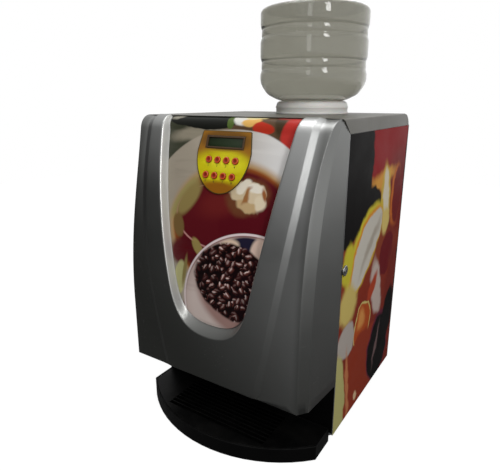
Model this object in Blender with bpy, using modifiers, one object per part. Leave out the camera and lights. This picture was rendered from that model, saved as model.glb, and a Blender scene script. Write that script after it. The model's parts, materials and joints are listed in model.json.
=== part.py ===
"""A counter-top hot coffee vending machine that carries its water in an inverted bottle.

Metres, +Z up, +X to the right of someone facing the door, +Y towards the back.
The origin is on the surface that it stands on, at the middle of its width and depth.
"""

import math

import bmesh
import bpy
from mathutils import Matrix, Vector
from mathutils.geometry import interpolate_bezier

MM = 0.001
GAP = 0.3 * MM  # between pieces that touch

# Cabinet
CABINET_WIDTH = 400 * MM
CABINET_DEPTH = 335 * MM
FOOT_HEIGHT = 15.5 * MM
FOOT_RADIUS = 15 * MM
FOOT_INSET = 24 * MM
SIDE_HEIGHT = 549.5 * MM
COVER_HEIGHT = 24 * MM
COVER_WALL = 2.5 * MM
COVER_EDGE = 4 * MM
SHEET = 2 * MM
REAR_INSET = 3 * MM
REAR_FOOT_INSET = 70 * MM
VENT_SLOTS = 6
VENT_BOTTOM = 440 * MM
VENT_PITCH = 16 * MM
VENT_WIDTH = 5 * MM
VENT_HALF = 90 * MM

# Door
DOOR_DEPTH = 110.5 * MM
DOOR_BOTTOM = 124 * MM
DOOR_WALL = 2.5 * MM
SEAM = 1 * MM
FRONT_STRAIGHT = 122 * MM  # the upright stretch above the door's bottom edge
LEAN_BACK = 87.56 * MM  # how far the front's top lies behind its foot
ROLL_RADIUS = 33 * MM
MITRE_RUN = 28 * MM
FACE_INSET = 20.5 * MM  # from the cabinet's side to the edge of the door's flat face
FLARE = 20 * MM
FLARE_START = 256 * MM  # along the front, from the bottom edge
CHAMFER = 13 * MM
CHAMFER_DEPTH = 17.4 * MM
PLATEAU_HEIGHT = 2.5 * MM
PLATEAU_HALF = 99 * MM
PLATEAU_SPREAD = 0.235
PLATEAU_CURVE = 0.19
RECESS_DEPTH = 15 * MM
RECESS_RISE = 11.5 * MM  # how much of that depth runs out as the front rolls over its top
RECESS_BOTTOM = 87 * MM
RECESS_BEND = (86 * MM, 176 * MM)
RECESS_ROUND = 56 * MM
RECESS_SLOPE = 0.215
RECESS_TOP_HALF = 139 * MM
RECESS_SIDE_DRAFT = 5 * MM
RECESS_BOTTOM_DRAFT = 17 * MM
RECESS_LIP = 9 * MM
CORNER_STATIONS = 8  # steps round each lower corner of the recess
FOOT_STATION = 5  # the step that faces the door's bottom corner

# Hinge, along the left rear edge of the door
KNUCKLE_RADIUS = 4.2 * MM
PIN_RADIUS = 1.5 * MM
PIN_CLEARANCE = 0.4 * MM
HINGE_BOTTOM = 160 * MM
KNUCKLE_LENGTH = 51 * MM
KNUCKLE_COUNT = 7
KNUCKLE_GAP = 0.5 * MM
LEAF_THICKNESS = 1.5 * MM
LEAF_WIDTH = 22 * MM
DOOR_LEAF_INSET = 1.6 * MM  # the door's wall turns inwards towards its top
LEAF_CLEARANCE = 0.8 * MM  # from the knuckle to the leaves and to the notches beside it

# Front of the door
ARTWORK_THICKNESS = 1.7 * MM
ARTWORK_CLEARANCE = 0.6 * MM
PANEL_THICKNESS = 1.5 * MM
PANEL_HALF = 52.5 * MM
PANEL_TOP_HALF = 46 * MM
PANEL_TOP = 451 * MM  # along the front, from the bottom edge
PANEL_SHOULDER = 416.5 * MM
PANEL_BOTTOM = 344 * MM
DISPLAY_WIDTH = 78 * MM
DISPLAY_HEIGHT = 22 * MM
DISPLAY_CENTRE = 432.6 * MM
DISPLAY_DEPTH = 12.5 * MM
DISPLAY_CLEARANCE = 0.5 * MM
BUTTON_RADIUS = 6 * MM
BUTTON_CLEARANCE = 0.5 * MM
BUTTON_PITCH = 18.2 * MM
BUTTON_ROWS = (402 * MM, 375 * MM)
BUTTON_ROW_SHIFT = (-0.5 * MM, -2.5 * MM)
BUTTON_HEAD = 2.5 * MM  # how far a button stands proud of the panel
BUTTON_FLANGE = 8 * MM
BUTTON_FLANGE_THICKNESS = 1.5 * MM
BUTTON_STEM = 4 * MM
BUTTON_TRAVEL = 1.5 * MM
BOARD_SIZE = (92 * MM, 84 * MM)
BOARD_CENTRE = 404 * MM
BOARD_THICKNESS = 1.6 * MM
SWITCH_SIZE = 6 * MM
SWITCH_HEIGHT = 3.5 * MM

# Lock, through the right side panel
LOCK_HEIGHT = 341 * MM
LOCK_BACK = 8.5 * MM  # from the cabinet's front edge
LOCK_RADIUS = 7.5 * MM
LOCK_FLANGE = 9.5 * MM
LOCK_FLANGE_THICKNESS = 2.8 * MM
LOCK_BORE = 5 * MM
LOCK_LENGTH = 16 * MM
CAM_THICKNESS = 2.2 * MM
CAM_REACH = 36 * MM
CAM_HALF = 5 * MM
CAM_HOOK = 6 * MM

# Drip tray
TRAY_OVERHANG = 28 * MM
TRAY_INSET = 7 * MM  # from the cabinet's side
TRAY_CORNER = 54 * MM  # from the door's front back to the tray's front corners
TRAY_HEIGHT = 29 * MM
TRAY_WALL = 3 * MM
TRAY_LEDGE = 5 * MM
TRAY_LIFT = 1 * MM
GRILLE_THICKNESS = 3 * MM
GRILLE_SLOTS = 9
SLOT_WIDTH = 7 * MM
TONGUE_X = (70 * MM, 110 * MM)
TONGUE_Z = (19 * MM, 24 * MM)
TONGUE_LENGTH = 26 * MM

# Cup bay
BAY_TOP = 136 * MM
BAY_SETBACK = 2 * MM

# Shelf and bulkhead
BULKHEAD_BACK = 139 * MM  # from the cabinet's front edge
BULKHEAD_DROP = 9 * MM  # from the top of the side panels
SHELF_HEIGHT = 318 * MM

# Powder lanes
LANE_X = 85 * MM
CANISTER_WIDTH = 126 * MM
CANISTER_DEPTH = 106 * MM
CANISTER_HEIGHT = 188 * MM
CANISTER_WALL = 2.5 * MM
CANISTER_SETBACK = 12 * MM  # from the bulkhead, for the auger's coupling
TROUGH_RADIUS = 17 * MM
TROUGH_SLOPE = 34 * MM
NOZZLE_LENGTH = 30 * MM
AUGER_RADIUS = 11 * MM
AUGER_WIRE = 1.8 * MM
AUGER_TURNS = 4
AUGER_HUB = 6 * MM
AUGER_SHAFT = 3 * MM
LID_THICKNESS = 3 * MM
BOWL_RADIUS = 40 * MM
BOWL_TOP = 288 * MM
BOWL_WALL = 2 * MM
CHAMBER_RADIUS = 17 * MM
CHAMBER_TOP = 236 * MM
CHAMBER_BOTTOM = 196 * MM
SPOUT_RADIUS = 6.5 * MM
SPOUT_END = 140 * MM
BOWL_Y = -11 * MM  # from the cabinet's front edge
WHIPPER_HEIGHT = 215 * MM
WHIPPER_DISC = 8 * MM
WHIPPER_PORT = 9.5 * MM
WHIPPER_SHAFT = 2.5 * MM
WHIP_MOTOR_RADIUS = 18 * MM
WHIP_MOTOR_LENGTH = 72 * MM

# Water
BOTTLE_X = 30 * MM
BOTTLE_BACK = 214 * MM  # from the cabinet's front edge
BOTTLE_RADIUS = 106.5 * MM
BOTTLE_HEIGHT = 171.5 * MM  # from the collar's top to its base, which is uppermost
BOTTLE_WALL = 1.5 * MM
NECK_RADIUS = 27 * MM
NECK_LENGTH = 48 * MM
COLLAR_RADIUS = 74 * MM
COLLAR_HEIGHT = 24 * MM
COLLAR_BORE = 62 * MM
RESERVOIR_RADIUS = 58 * MM
RESERVOIR_FLANGE = 66 * MM
RESERVOIR_DEPTH = 48 * MM
BOILER_RADIUS = 70 * MM
BOILER_BACK = 255 * MM
BOILER_BOTTOM = 330 * MM
BOILER_HEIGHT = 168 * MM
HOSE_RADIUS = 3.5 * MM
INLET_HOSE_RADIUS = 4.5 * MM
HOSE_CLEARANCE = 1 * MM  # from a hose's end to what it meets
VALVE_X = 28 * MM
VALVE_HEIGHT = 318 * MM

# Power
SUPPLY_SIZE = (120 * MM, 120 * MM, 70 * MM)
INLET_X = 120 * MM
INLET_HEIGHT = 60 * MM
ROCKER_SIZE = (11 * MM, 19 * MM)

# Places worked out from the sizes above
HALF = CABINET_WIDTH / 2
FACE_HALF = HALF - FACE_INSET
TRAY_HALF = HALF - TRAY_INSET
Z_FLOOR = FOOT_HEIGHT
Z_SIDE = FOOT_HEIGHT + SIDE_HEIGHT
BULKHEAD_TOP = Z_SIDE - BULKHEAD_DROP
Z_TOP = Z_SIDE + COVER_HEIGHT
TOTAL_DEPTH = TRAY_OVERHANG + DOOR_DEPTH + SEAM + CABINET_DEPTH
Y_DOOR = -TOTAL_DEPTH / 2 + TRAY_OVERHANG
Y_DOOR_REAR = Y_DOOR + DOOR_DEPTH
Y_CABINET = Y_DOOR_REAR + SEAM
Y_REAR = Y_CABINET + CABINET_DEPTH
Y_REAR_PANEL = Y_REAR - REAR_INSET
Y_BULKHEAD = Y_CABINET + BULKHEAD_BACK
HINGE = Vector((-HALF, Y_CABINET - SEAM / 2, 0))
PIN_BORE = PIN_RADIUS + PIN_CLEARANCE
HINGE_TOP = HINGE_BOTTOM + KNUCKLE_COUNT * KNUCKLE_LENGTH
AUGER_HEIGHT = SHELF_HEIGHT + SHEET + GAP + TROUGH_RADIUS
CANISTER_FRONT = Y_BULKHEAD - GAP - CANISTER_SETBACK - CANISTER_DEPTH
BOTTLE = Vector((BOTTLE_X, Y_CABINET + BOTTLE_BACK, 0))
BOILER = Vector((0, Y_CABINET + BOILER_BACK, BOILER_BOTTOM))
FLANGE_TOP = Z_TOP + GAP + SHEET
COLLAR_TOP = Z_TOP + GAP + COLLAR_HEIGHT

# The front's curve in side view: upright, then an arc leaning back, then a roll onto the level top
ARC_START = DOOR_BOTTOM + FRONT_STRAIGHT
ROLL_Z = Z_TOP - ROLL_RADIUS
ARC_RISE = ROLL_Z - ARC_START
ARC_RUN = LEAN_BACK - ROLL_RADIUS
FRONT_RADIUS = ROLL_RADIUS + (ARC_RISE ** 2 + ARC_RUN ** 2) / (2 * ARC_RUN)
LEAN = math.asin(ARC_RISE / (FRONT_RADIUS - ROLL_RADIUS))
S_ROLL = FRONT_STRAIGHT + FRONT_RADIUS * LEAN
S_CROWN = S_ROLL + ROLL_RADIUS * (math.pi / 2 - LEAN)
S_END = S_CROWN + (DOOR_DEPTH - LEAN_BACK) * 0.8

parts = bpy.data.collections.new("coffee_vending_machine")
cutters = bpy.data.collections.new("cutters")

FINISHES = {
    "silver": ((0.36, 0.37, 0.37), 0.38, 0.6, 0),
    "grey": ((0.2, 0.2, 0.19), 0.45, 0.2, 0),
    "printed": ((0.35, 0.05, 0.03), 0.35, 0, 0),
    "yellow": ((0.6, 0.5, 0.02), 0.4, 0, 0),
    "red": ((0.5, 0.06, 0.01), 0.4, 0, 0),
    "black": ((0.01, 0.01, 0.012), 0.45, 0, 0),
    "rubber": ((0.02, 0.02, 0.02), 0.85, 0, 0),
    "screen": ((0.02, 0.04, 0.015), 0.15, 0, 0),
    "board": ((0.02, 0.12, 0.04), 0.5, 0, 0),
    "steel": ((0.55, 0.55, 0.56), 0.3, 1, 0),
    "zinc": ((0.5, 0.5, 0.52), 0.5, 0.9, 0),
    "clear": ((0.85, 0.87, 0.85), 0.08, 0, 1),
    "milky": ((0.75, 0.75, 0.73), 0.35, 0, 0.3),
    "white": ((0.8, 0.8, 0.78), 0.5, 0, 0),
    "silicone": ((0.7, 0.68, 0.62), 0.6, 0, 0.2),
}


def clear_scene():
    for obj in list(bpy.data.objects):
        bpy.data.objects.remove(obj, do_unlink=True)
    bpy.context.scene.collection.children.link(parts)
    bpy.context.scene.collection.children.link(cutters)


def paint(obj, finish):
    """Gives the piece a material of its own."""
    colour, roughness, metallic, transmission = FINISHES[finish]
    material = bpy.data.materials.new(obj.name)
    material.use_nodes = True
    shader = material.node_tree.nodes["Principled BSDF"]
    shader.inputs["Base Color"].default_value = (*colour, 1)
    shader.inputs["Roughness"].default_value = roughness
    shader.inputs["Metallic"].default_value = metallic
    shader.inputs["Transmission Weight"].default_value = transmission
    obj.data.materials.append(material)


def piece(name, bm, finish):
    """Makes a named part from a bmesh, or a cutter when it has no finish."""
    mesh = bpy.data.meshes.new(name)
    bm.to_mesh(mesh)
    bm.free()
    obj = bpy.data.objects.new(name, mesh)
    if finish is None:
        cutters.objects.link(obj)
        obj.hide_render = True
        obj.display_type = "WIRE"
    else:
        parts.objects.link(obj)
        paint(obj, finish)
    return obj


def boolean(obj, other, operation):
    modifier = obj.modifiers.new(f"{operation.lower()} {other.name}", "BOOLEAN")
    modifier.operation = operation
    modifier.solver = "EXACT"
    modifier.object = other
    return obj


def cut(obj, *others):
    for other in others:
        boolean(obj, other, "DIFFERENCE")
    return obj


def join(obj, *others):
    for other in others:
        boolean(obj, other, "UNION")
    return obj


def add_box(bm, xs, ys, zs):
    size = Vector((xs[1] - xs[0], ys[1] - ys[0], zs[1] - zs[0]))
    middle = Vector((sum(xs) / 2, sum(ys) / 2, sum(zs) / 2))
    place = Matrix.Translation(middle) @ Matrix.Diagonal((*size, 1))
    return bmesh.ops.create_cube(bm, size=1, matrix=place)


def box(name, xs, ys, zs, finish=None):
    bm = bmesh.new()
    add_box(bm, xs, ys, zs)
    return piece(name, bm, finish)


def rod(name, start, end, radius, finish=None, sides=16):
    """A cylinder from one point to another."""
    start = Vector(start)
    along = Vector(end) - start
    turn = Vector((0, 0, 1)).rotation_difference(along).to_matrix().to_4x4()
    place = Matrix.Translation(start + along / 2) @ turn
    bm = bmesh.new()
    bmesh.ops.create_cone(bm, cap_ends=True, segments=sides, radius1=radius, radius2=radius,
                          depth=along.length, matrix=place)
    obj = piece(name, bm, finish)
    obj.data.shade_smooth()
    obj.data.set_sharp_from_angle(angle=math.radians(40))
    return obj


def turned(name, profile, place, finish=None, sides=24, closed=False):
    """A profile of (radius, height) points, running down its outer side, turned about local Z."""
    bm = bmesh.new()
    points = [bm.verts.new((r, 0, z)) for r, z in profile]
    for a, b in zip(points, points[1:]):
        bm.edges.new((a, b))
    if closed:
        bm.edges.new((points[-1], points[0]))
    obj = piece(name, bm, finish)
    screw = obj.modifiers.new("turn", "SCREW")
    screw.axis = "Z"
    screw.steps = sides
    screw.render_steps = sides
    screw.use_merge_vertices = True
    screw.merge_threshold = 0.00001
    obj.matrix_world = place
    return obj


def at(x, y, z):
    return Matrix.Translation((x, y, z))


def facing(point, direction):
    """A placement whose local Z points in a direction."""
    turn = Vector((0, 0, 1)).rotation_difference(Vector(direction)).to_matrix().to_4x4()
    return Matrix.Translation(point) @ turn


def slab(name, outline, low, high, finish=None, normal="Z"):
    """A flat outline given a thickness from low to high along X, Y or Z."""
    spot = {
        "X": lambda a, b, c: (c, a, b),
        "Y": lambda a, b, c: (a, c, b),
        "Z": lambda a, b, c: (a, b, c),
    }[normal]
    bm = bmesh.new()
    face = bm.faces.new([bm.verts.new(spot(a, b, low)) for a, b in outline])
    grown = bmesh.ops.extrude_face_region(bm, geom=[face])
    top = [v for v in grown["geom"] if isinstance(v, bmesh.types.BMVert)]
    bmesh.ops.translate(bm, verts=top, vec=spot(0, 0, high - low))
    bmesh.ops.recalc_face_normals(bm, faces=bm.faces)
    return piece(name, bm, finish)


def arc(centre, radius, start, end, count):
    """Points on an arc; the angles are in degrees."""
    turns = [math.radians(start + (end - start) * i / count) for i in range(count + 1)]
    return [(centre[0] + radius * math.cos(t), centre[1] + radius * math.sin(t)) for t in turns]


def tube(name, points, radius, finish):
    """A hose along points, as a curve with a round section and filled ends."""
    curve = bpy.data.curves.new(name, "CURVE")
    curve.dimensions = "3D"
    curve.bevel_depth = radius
    curve.bevel_resolution = 2
    curve.use_fill_caps = True
    spline = curve.splines.new("POLY")
    spline.points.add(len(points) - 1)
    for spot, point in zip(spline.points, points):
        spot.co = (*point, 1)
    obj = bpy.data.objects.new(name, curve)
    parts.objects.link(obj)
    paint(obj, finish)
    return obj


def as_mesh(obj, finish):
    """The curve as a mesh with its caps welded, so that it can be cut or joined."""
    graph = bpy.context.evaluated_depsgraph_get()
    mesh = bpy.data.meshes.new_from_object(obj.evaluated_get(graph))
    place = obj.matrix_world.copy()
    name = obj.name
    bpy.data.objects.remove(obj, do_unlink=True)
    bm = bmesh.new()
    bm.from_mesh(mesh)
    bmesh.ops.remove_doubles(bm, verts=bm.verts, dist=0.00001)
    made = piece(name, bm, finish)
    made.matrix_world = place
    return made


def smooth_route(points, steps):
    """Points on a smooth curve through a hose's own points."""
    points = [Vector(p) for p in points]
    slopes = [(points[min(i + 1, len(points) - 1)] - points[max(i - 1, 0)]) / 6
              for i in range(len(points))]
    route = [points[0]]
    for i in range(len(points) - 1):
        a, b = points[i], points[i + 1]
        route += interpolate_bezier(a, a + slopes[i], b - slopes[i + 1], b, steps + 1)[1:]
    return route


def front(s, depth=0):
    """Y and Z at a distance s up the front from its bottom edge, and at a depth behind it."""
    if s <= FRONT_STRAIGHT:
        return Y_DOOR + depth, DOOR_BOTTOM + s
    if s <= S_ROLL:
        lean = (s - FRONT_STRAIGHT) / FRONT_RADIUS
        radius = FRONT_RADIUS - depth
        return Y_DOOR + FRONT_RADIUS - radius * math.cos(lean), ARC_START + radius * math.sin(lean)
    if s <= S_CROWN:
        lean = LEAN + (s - S_ROLL) / ROLL_RADIUS
        radius = ROLL_RADIUS - depth
        return Y_DOOR + LEAN_BACK - radius * math.cos(lean), ROLL_Z + radius * math.sin(lean)
    return Y_DOOR + LEAN_BACK + s - S_CROWN, Z_TOP - depth


def lean_at(s):
    return min(max(s - FRONT_STRAIGHT, 0) / FRONT_RADIUS, LEAN)


def recess_rise(s):
    share = min(max(s - S_ROLL, 0) / (S_CROWN - S_ROLL), 1)
    return RECESS_RISE * share ** 2 * (3 - 2 * share)


def bend_levels(arc_steps=9, roll_steps=5):
    levels = [FRONT_STRAIGHT + (S_ROLL - FRONT_STRAIGHT) * i / arc_steps for i in range(arc_steps)]
    levels += [S_ROLL + (S_CROWN - S_ROLL) * i / roll_steps for i in range(roll_steps + 1)]
    return levels


def bend(obj):
    """Bends a flat pattern (X across, Y depth, Z up the front) over the door's curve."""
    bm = bmesh.new()
    bm.from_mesh(obj.data)
    for level in bend_levels():
        bmesh.ops.bisect_plane(bm, geom=bm.verts[:] + bm.edges[:] + bm.faces[:], dist=0.000001,
                               plane_co=(0, 0, level), plane_no=(0, 0, 1))
    for v in bm.verts:
        v.co.y, v.co.z = front(v.co.z, v.co.y - recess_rise(v.co.z))
    bmesh.ops.triangulate(bm, faces=bm.faces)
    bm.to_mesh(obj.data)
    bm.free()
    return obj


def settle(obj):
    """Applies the piece's modifiers, so that it can be bent."""
    graph = bpy.context.evaluated_depsgraph_get()
    mesh = bpy.data.meshes.new_from_object(obj.evaluated_get(graph))
    obj.modifiers.clear()
    obj.data = mesh
    return obj


def flare_at(s):
    return min(max(s - FLARE_START, 0) / (S_CROWN - FLARE_START), 1) ** 3


def face_half(s):
    """Half the width of the door's flat face."""
    return FACE_HALF + FLARE * flare_at(s)


def plateau_half(s):
    """Half the width of the raised middle of the face, which widens upwards."""
    return PLATEAU_HALF + PLATEAU_SPREAD * s - PLATEAU_CURVE * s * s


def flank_levels():
    return [s for s in bend_levels() if s > RECESS_BEND[1] + 5 * MM] + [S_END]


def u_half(side, bottom, steps=CORNER_STATIONS):
    """Right half of the recess's U in the flat pattern, moved in by side and up by bottom."""
    low = Vector((0, RECESS_BOTTOM + bottom, 0))
    turn = Vector((RECESS_BEND[0] - side, RECESS_BEND[1], 0))
    corner = interpolate_bezier(low, low + Vector((RECESS_ROUND, 0, 0)),
                                turn - Vector((RECESS_SLOPE * RECESS_ROUND, RECESS_ROUND - bottom / 2, 0)),
                                turn, steps + 1)
    rise = S_CROWN - RECESS_BEND[1]
    ease = (RECESS_BEND[0] + RECESS_SLOPE * rise - RECESS_TOP_HALF) / rise ** 2
    half = [(p.x, p.y) for p in corner]
    for s in flank_levels():
        up = s - RECESS_BEND[1]
        half.append((turn.x + RECESS_SLOPE * up - ease * up * up, s))
    return half


def u_outline(side, bottom):
    """The whole U, closed along its top."""
    half = u_half(side, bottom)
    return [(-x, s) for x, s in reversed(half[1:])] + half


def face_border():
    """Where the face's outer edge meets each station of the U: along the bottom, then up the side."""
    border = [(FACE_HALF * i / FOOT_STATION, 0) for i in range(FOOT_STATION + 1)]
    rest = CORNER_STATIONS - FOOT_STATION
    levels = [RECESS_BEND[1] * (i + 1) / rest for i in range(rest)] + flank_levels()
    return border + [(face_half(s), s) for s in levels]


def crease_share(inner, outer):
    """How far from the rim to the border the raised middle ends."""
    for i in range(1, 98):
        x, s = (a + (b - a) * i / 100 for a, b in zip(inner, outer))
        if x >= plateau_half(s):
            return i / 100
    return 0.97


def door_lines():
    """Lines that run round the U, from the lip of the recess out to the door's rear edge."""
    rim = u_half(0, 0)
    border = face_border()
    lip = u_half(RECESS_SIDE_DRAFT + RECESS_LIP, RECESS_BOTTOM_DRAFT + RECESS_LIP)
    floor = u_half(RECESS_SIDE_DRAFT, RECESS_BOTTOM_DRAFT)
    edge = []
    foot = []
    for inner, outer in zip(rim, border):
        share = crease_share(inner, outer)
        step = 0.02
        edge.append([a + (b - a) * (share - step) for a, b in zip(inner, outer)])
        foot.append([a + (b - a) * (share + step) for a, b in zip(inner, outer)])
    lines = [[(x, *front(s, RECESS_DEPTH - recess_rise(s))) for x, s in line] for line in (lip, floor)]
    lines += [[(x, *front(s, -PLATEAU_HEIGHT)) for x, s in line] for line in (rim, edge)]
    lines += [[(x, *front(s)) for x, s in line] for line in (foot, border)]
    side = []
    rear = []
    for x, s in border[FOOT_STATION:]:
        y, z = front(s)
        side.append((x + CHAMFER * (1 - flare_at(s)) + flare_at(s) * MM / 2,
                     y + min(CHAMFER_DEPTH, (Y_DOOR_REAR - y) * 0.75), z))
        rear.append((HALF, Y_DOOR_REAR, z))
    return lines, [side, rear]


def make_door_surface():
    """The door's outer surface: half of it lofted between its lines, mirrored and given a wall."""
    face_lines, side_lines = door_lines()
    bm = bmesh.new()
    rows = [[bm.verts.new(co) for co in line] for line in face_lines]
    sides = [rows[-1][FOOT_STATION:]] + [[bm.verts.new(co) for co in line] for line in side_lines]
    for group in (rows, sides):
        for inner, outer in zip(group, group[1:]):
            for i in range(len(inner) - 1):
                bm.faces.new((inner[i], outer[i], outer[i + 1], inner[i + 1]))
    shell = piece("door_shell", bm, "silver")
    mirror = shell.modifiers.new("both halves", "MIRROR")
    mirror.merge_threshold = 0.00001
    wall = shell.modifiers.new("wall", "SOLIDIFY")
    wall.thickness = DOOR_WALL
    wall.offset = -1
    wall.use_even_offset = True
    return shell


def mitre_cutter(name):
    """Removes everything behind the slanted seam between the door and the top cover."""
    corner = Vector((Y_DOOR_REAR, Z_SIDE))
    run = Vector((-MITRE_RUN, COVER_HEIGHT))
    low = corner - run * 0.6
    high = corner + run * 3
    back = Y_DOOR_REAR + 60 * MM
    outline = [tuple(low), tuple(high), (back, high.y), (back, low.y)]
    return slab(name, outline, -HALF * 2, HALF * 2, normal="X")


def make_door_shell():
    shell = make_door_surface()
    notch = KNUCKLE_RADIUS + LEAF_CLEARANCE
    hinge_notch = box("door_hinge_notch", (HINGE.x - notch, HINGE.x + notch),
                      (HINGE.y - notch, HINGE.y + notch), (HINGE_BOTTOM - MM, HINGE_TOP + MM))
    strike_top = LOCK_HEIGHT - CAM_HALF - MM
    strike_y = Y_CABINET + LOCK_BACK - CAM_REACH + 7 * MM
    strike = box("strike", (HALF - 22 * MM, HALF - DOOR_WALL), (strike_y, strike_y + 2.5 * MM),
                 (strike_top - 22 * MM, strike_top))
    cut(shell, mitre_cutter("door_mitre"), hinge_notch)
    return join(shell, strike)


def make_front_panels():
    """The printed panel in the recess, the control panel on it, the display and the board."""
    face = RECESS_DEPTH - GAP - ARTWORK_THICKNESS
    edge = ARTWORK_CLEARANCE + RECESS_SIDE_DRAFT
    outline = u_outline(edge, RECESS_BOTTOM_DRAFT + ARTWORK_CLEARANCE)
    artwork = slab("artwork_panel", outline, face, face + ARTWORK_THICKNESS, "printed", "Y")
    shoulder = arc((0, 0), 1, 180, 360, 14)
    low = [(PANEL_HALF * x, PANEL_SHOULDER + (PANEL_SHOULDER - PANEL_BOTTOM) * s) for x, s in shoulder]
    panel_face = face - GAP - PANEL_THICKNESS
    panel = slab("control_panel", [(-PANEL_TOP_HALF, PANEL_TOP), *low, (PANEL_TOP_HALF, PANEL_TOP)],
                 panel_face, panel_face + PANEL_THICKNESS, "yellow", "Y")
    holes = [rod(f"button_hole_{i}", (x, panel_face - 5 * MM, s), (x, face + 5 * MM, s),
                 BUTTON_RADIUS + BUTTON_CLEARANCE, sides=12) for i, (x, s) in enumerate(button_places())]
    grow = DISPLAY_CLEARANCE
    window = box("display_hole", (-DISPLAY_WIDTH / 2 - grow, DISPLAY_WIDTH / 2 + grow),
                 (panel_face - 5 * MM, face + 5 * MM),
                 (DISPLAY_CENTRE - DISPLAY_HEIGHT / 2 - grow, DISPLAY_CENTRE + DISPLAY_HEIGHT / 2 + grow))
    for sheet in (artwork, panel):
        bend(settle(cut(sheet, window, *holes)))
    cut(artwork, mitre_cutter("artwork_mitre"))
    depth = panel_face - MM
    display = box("display_module", (-DISPLAY_WIDTH / 2, DISPLAY_WIDTH / 2), (depth, depth + DISPLAY_DEPTH),
                  (DISPLAY_CENTRE - DISPLAY_HEIGHT / 2, DISPLAY_CENTRE + DISPLAY_HEIGHT / 2), "screen")
    glass = box("display_glass", (-DISPLAY_WIDTH / 2 + 5 * MM, DISPLAY_WIDTH / 2 - 5 * MM),
                (depth - MM, depth + 0.6 * MM),
                (DISPLAY_CENTRE - DISPLAY_HEIGHT / 2 + 3 * MM, DISPLAY_CENTRE + DISPLAY_HEIGHT / 2 - 3 * MM))
    bend(settle(cut(display, glass)))
    stem_end = RECESS_DEPTH + BUTTON_FLANGE_THICKNESS + BUTTON_STEM
    board_face = stem_end + BUTTON_TRAVEL + GAP + SWITCH_HEIGHT
    board = box("control_board", (-BOARD_SIZE[0] / 2, BOARD_SIZE[0] / 2),
                (board_face, board_face + BOARD_THICKNESS),
                (BOARD_CENTRE - BOARD_SIZE[1] / 2, BOARD_CENTRE + BOARD_SIZE[1] / 2), "board")
    reach = SWITCH_SIZE / 2
    for i, (x, s) in enumerate(button_places()):
        join(board, box(f"switch_{i}", (x - reach, x + reach),
                        (board_face - SWITCH_HEIGHT, board_face + 0.5 * MM), (s - reach, s + reach)))
    bend(settle(board))
    return [artwork, panel, display, board]


def button_places():
    return [((i - 1.5) * BUTTON_PITCH + shift, s)
            for s, shift in zip(BUTTON_ROWS, BUTTON_ROW_SHIFT) for i in range(4)]


def make_buttons():
    """Eight buttons that slide straight in; each turned piece stands on its own axis."""
    face = RECESS_DEPTH - 2 * GAP - ARTWORK_THICKNESS - PANEL_THICKNESS
    head = face - BUTTON_HEAD
    seat = RECESS_DEPTH - head  # the flange rests behind the artwork panel
    profile = [
        (0, 0),
        (BUTTON_RADIUS * 0.7, 0),
        (BUTTON_RADIUS, -1 * MM),
        (BUTTON_RADIUS, -seat),
        (BUTTON_FLANGE, -seat),
        (BUTTON_FLANGE, -seat - BUTTON_FLANGE_THICKNESS),
        (BUTTON_STEM / 2, -seat - BUTTON_FLANGE_THICKNESS),
        (BUTTON_STEM / 2, -seat - BUTTON_FLANGE_THICKNESS - BUTTON_STEM),
        (0, -seat - BUTTON_FLANGE_THICKNESS - BUTTON_STEM),
    ]
    buttons = []
    for i, (x, s) in enumerate(button_places()):
        y, z = front(s, head)
        outward = (0, -math.cos(lean_at(s)), math.sin(lean_at(s)))
        buttons.append(turned(f"button_{i + 1}", profile, facing((x, y, z), outward), "red", 12))
    return buttons


def knuckle_spans(first):
    return [(HINGE_BOTTOM + i * KNUCKLE_LENGTH + KNUCKLE_GAP, HINGE_BOTTOM + (i + 1) * KNUCKLE_LENGTH)
            for i in range(first, KNUCKLE_COUNT, 2)]


def hinge_leaf(name, first, inside, side):
    """A leaf with every second knuckle; side is 1 towards the cabinet, -1 towards the door."""
    xs = (HINGE.x + inside, HINGE.x + inside + LEAF_THICKNESS)
    ys = sorted((HINGE.y + side * KNUCKLE_RADIUS, HINGE.y + side * (KNUCKLE_RADIUS + LEAF_WIDTH)))
    leaf = box(name, xs, ys, (HINGE_BOTTOM + KNUCKLE_GAP, HINGE_TOP), "steel")
    tab_xs = (HINGE.x + (PIN_BORE + KNUCKLE_RADIUS) / 2, xs[1])
    tab_ys = sorted((HINGE.y, HINGE.y + side * (KNUCKLE_RADIUS + LEAF_CLEARANCE * 0.7)))
    for i, (low, high) in enumerate(knuckle_spans(first)):
        barrel = rod(f"{name}_knuckle_{i}", (HINGE.x, HINGE.y, low), (HINGE.x, HINGE.y, high),
                     KNUCKLE_RADIUS, sides=12)
        join(leaf, barrel, box(f"{name}_tab_{i}", tab_xs, tab_ys, (low, high)))
    bore = rod(f"{name}_bore", (HINGE.x, HINGE.y, HINGE_BOTTOM - MM), (HINGE.x, HINGE.y, HINGE_TOP + MM),
               PIN_BORE, sides=12)
    return cut(leaf, bore)


def make_hinge():
    hinge_leaf("hinge_cabinet_leaf", 0, SHEET + GAP, 1)
    door_leaf = settle(hinge_leaf("hinge_door_leaf", 1, DOOR_WALL + DOOR_LEAF_INSET, -1))
    tilt = math.atan2(HALF - FACE_HALF - CHAMFER, DOOR_DEPTH - CHAMFER_DEPTH)
    turn = Matrix.Translation(HINGE) @ Matrix.Rotation(tilt, 4, "Z") @ Matrix.Translation(-HINGE)
    door_leaf.data.transform(turn)
    rod("hinge_pin", (HINGE.x, HINGE.y, HINGE_BOTTOM), (HINGE.x, HINGE.y, HINGE_TOP), PIN_RADIUS, "steel",
        12)
    return door_leaf


def lock_point(x):
    return Vector((x, Y_CABINET + LOCK_BACK, LOCK_HEIGHT))


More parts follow.
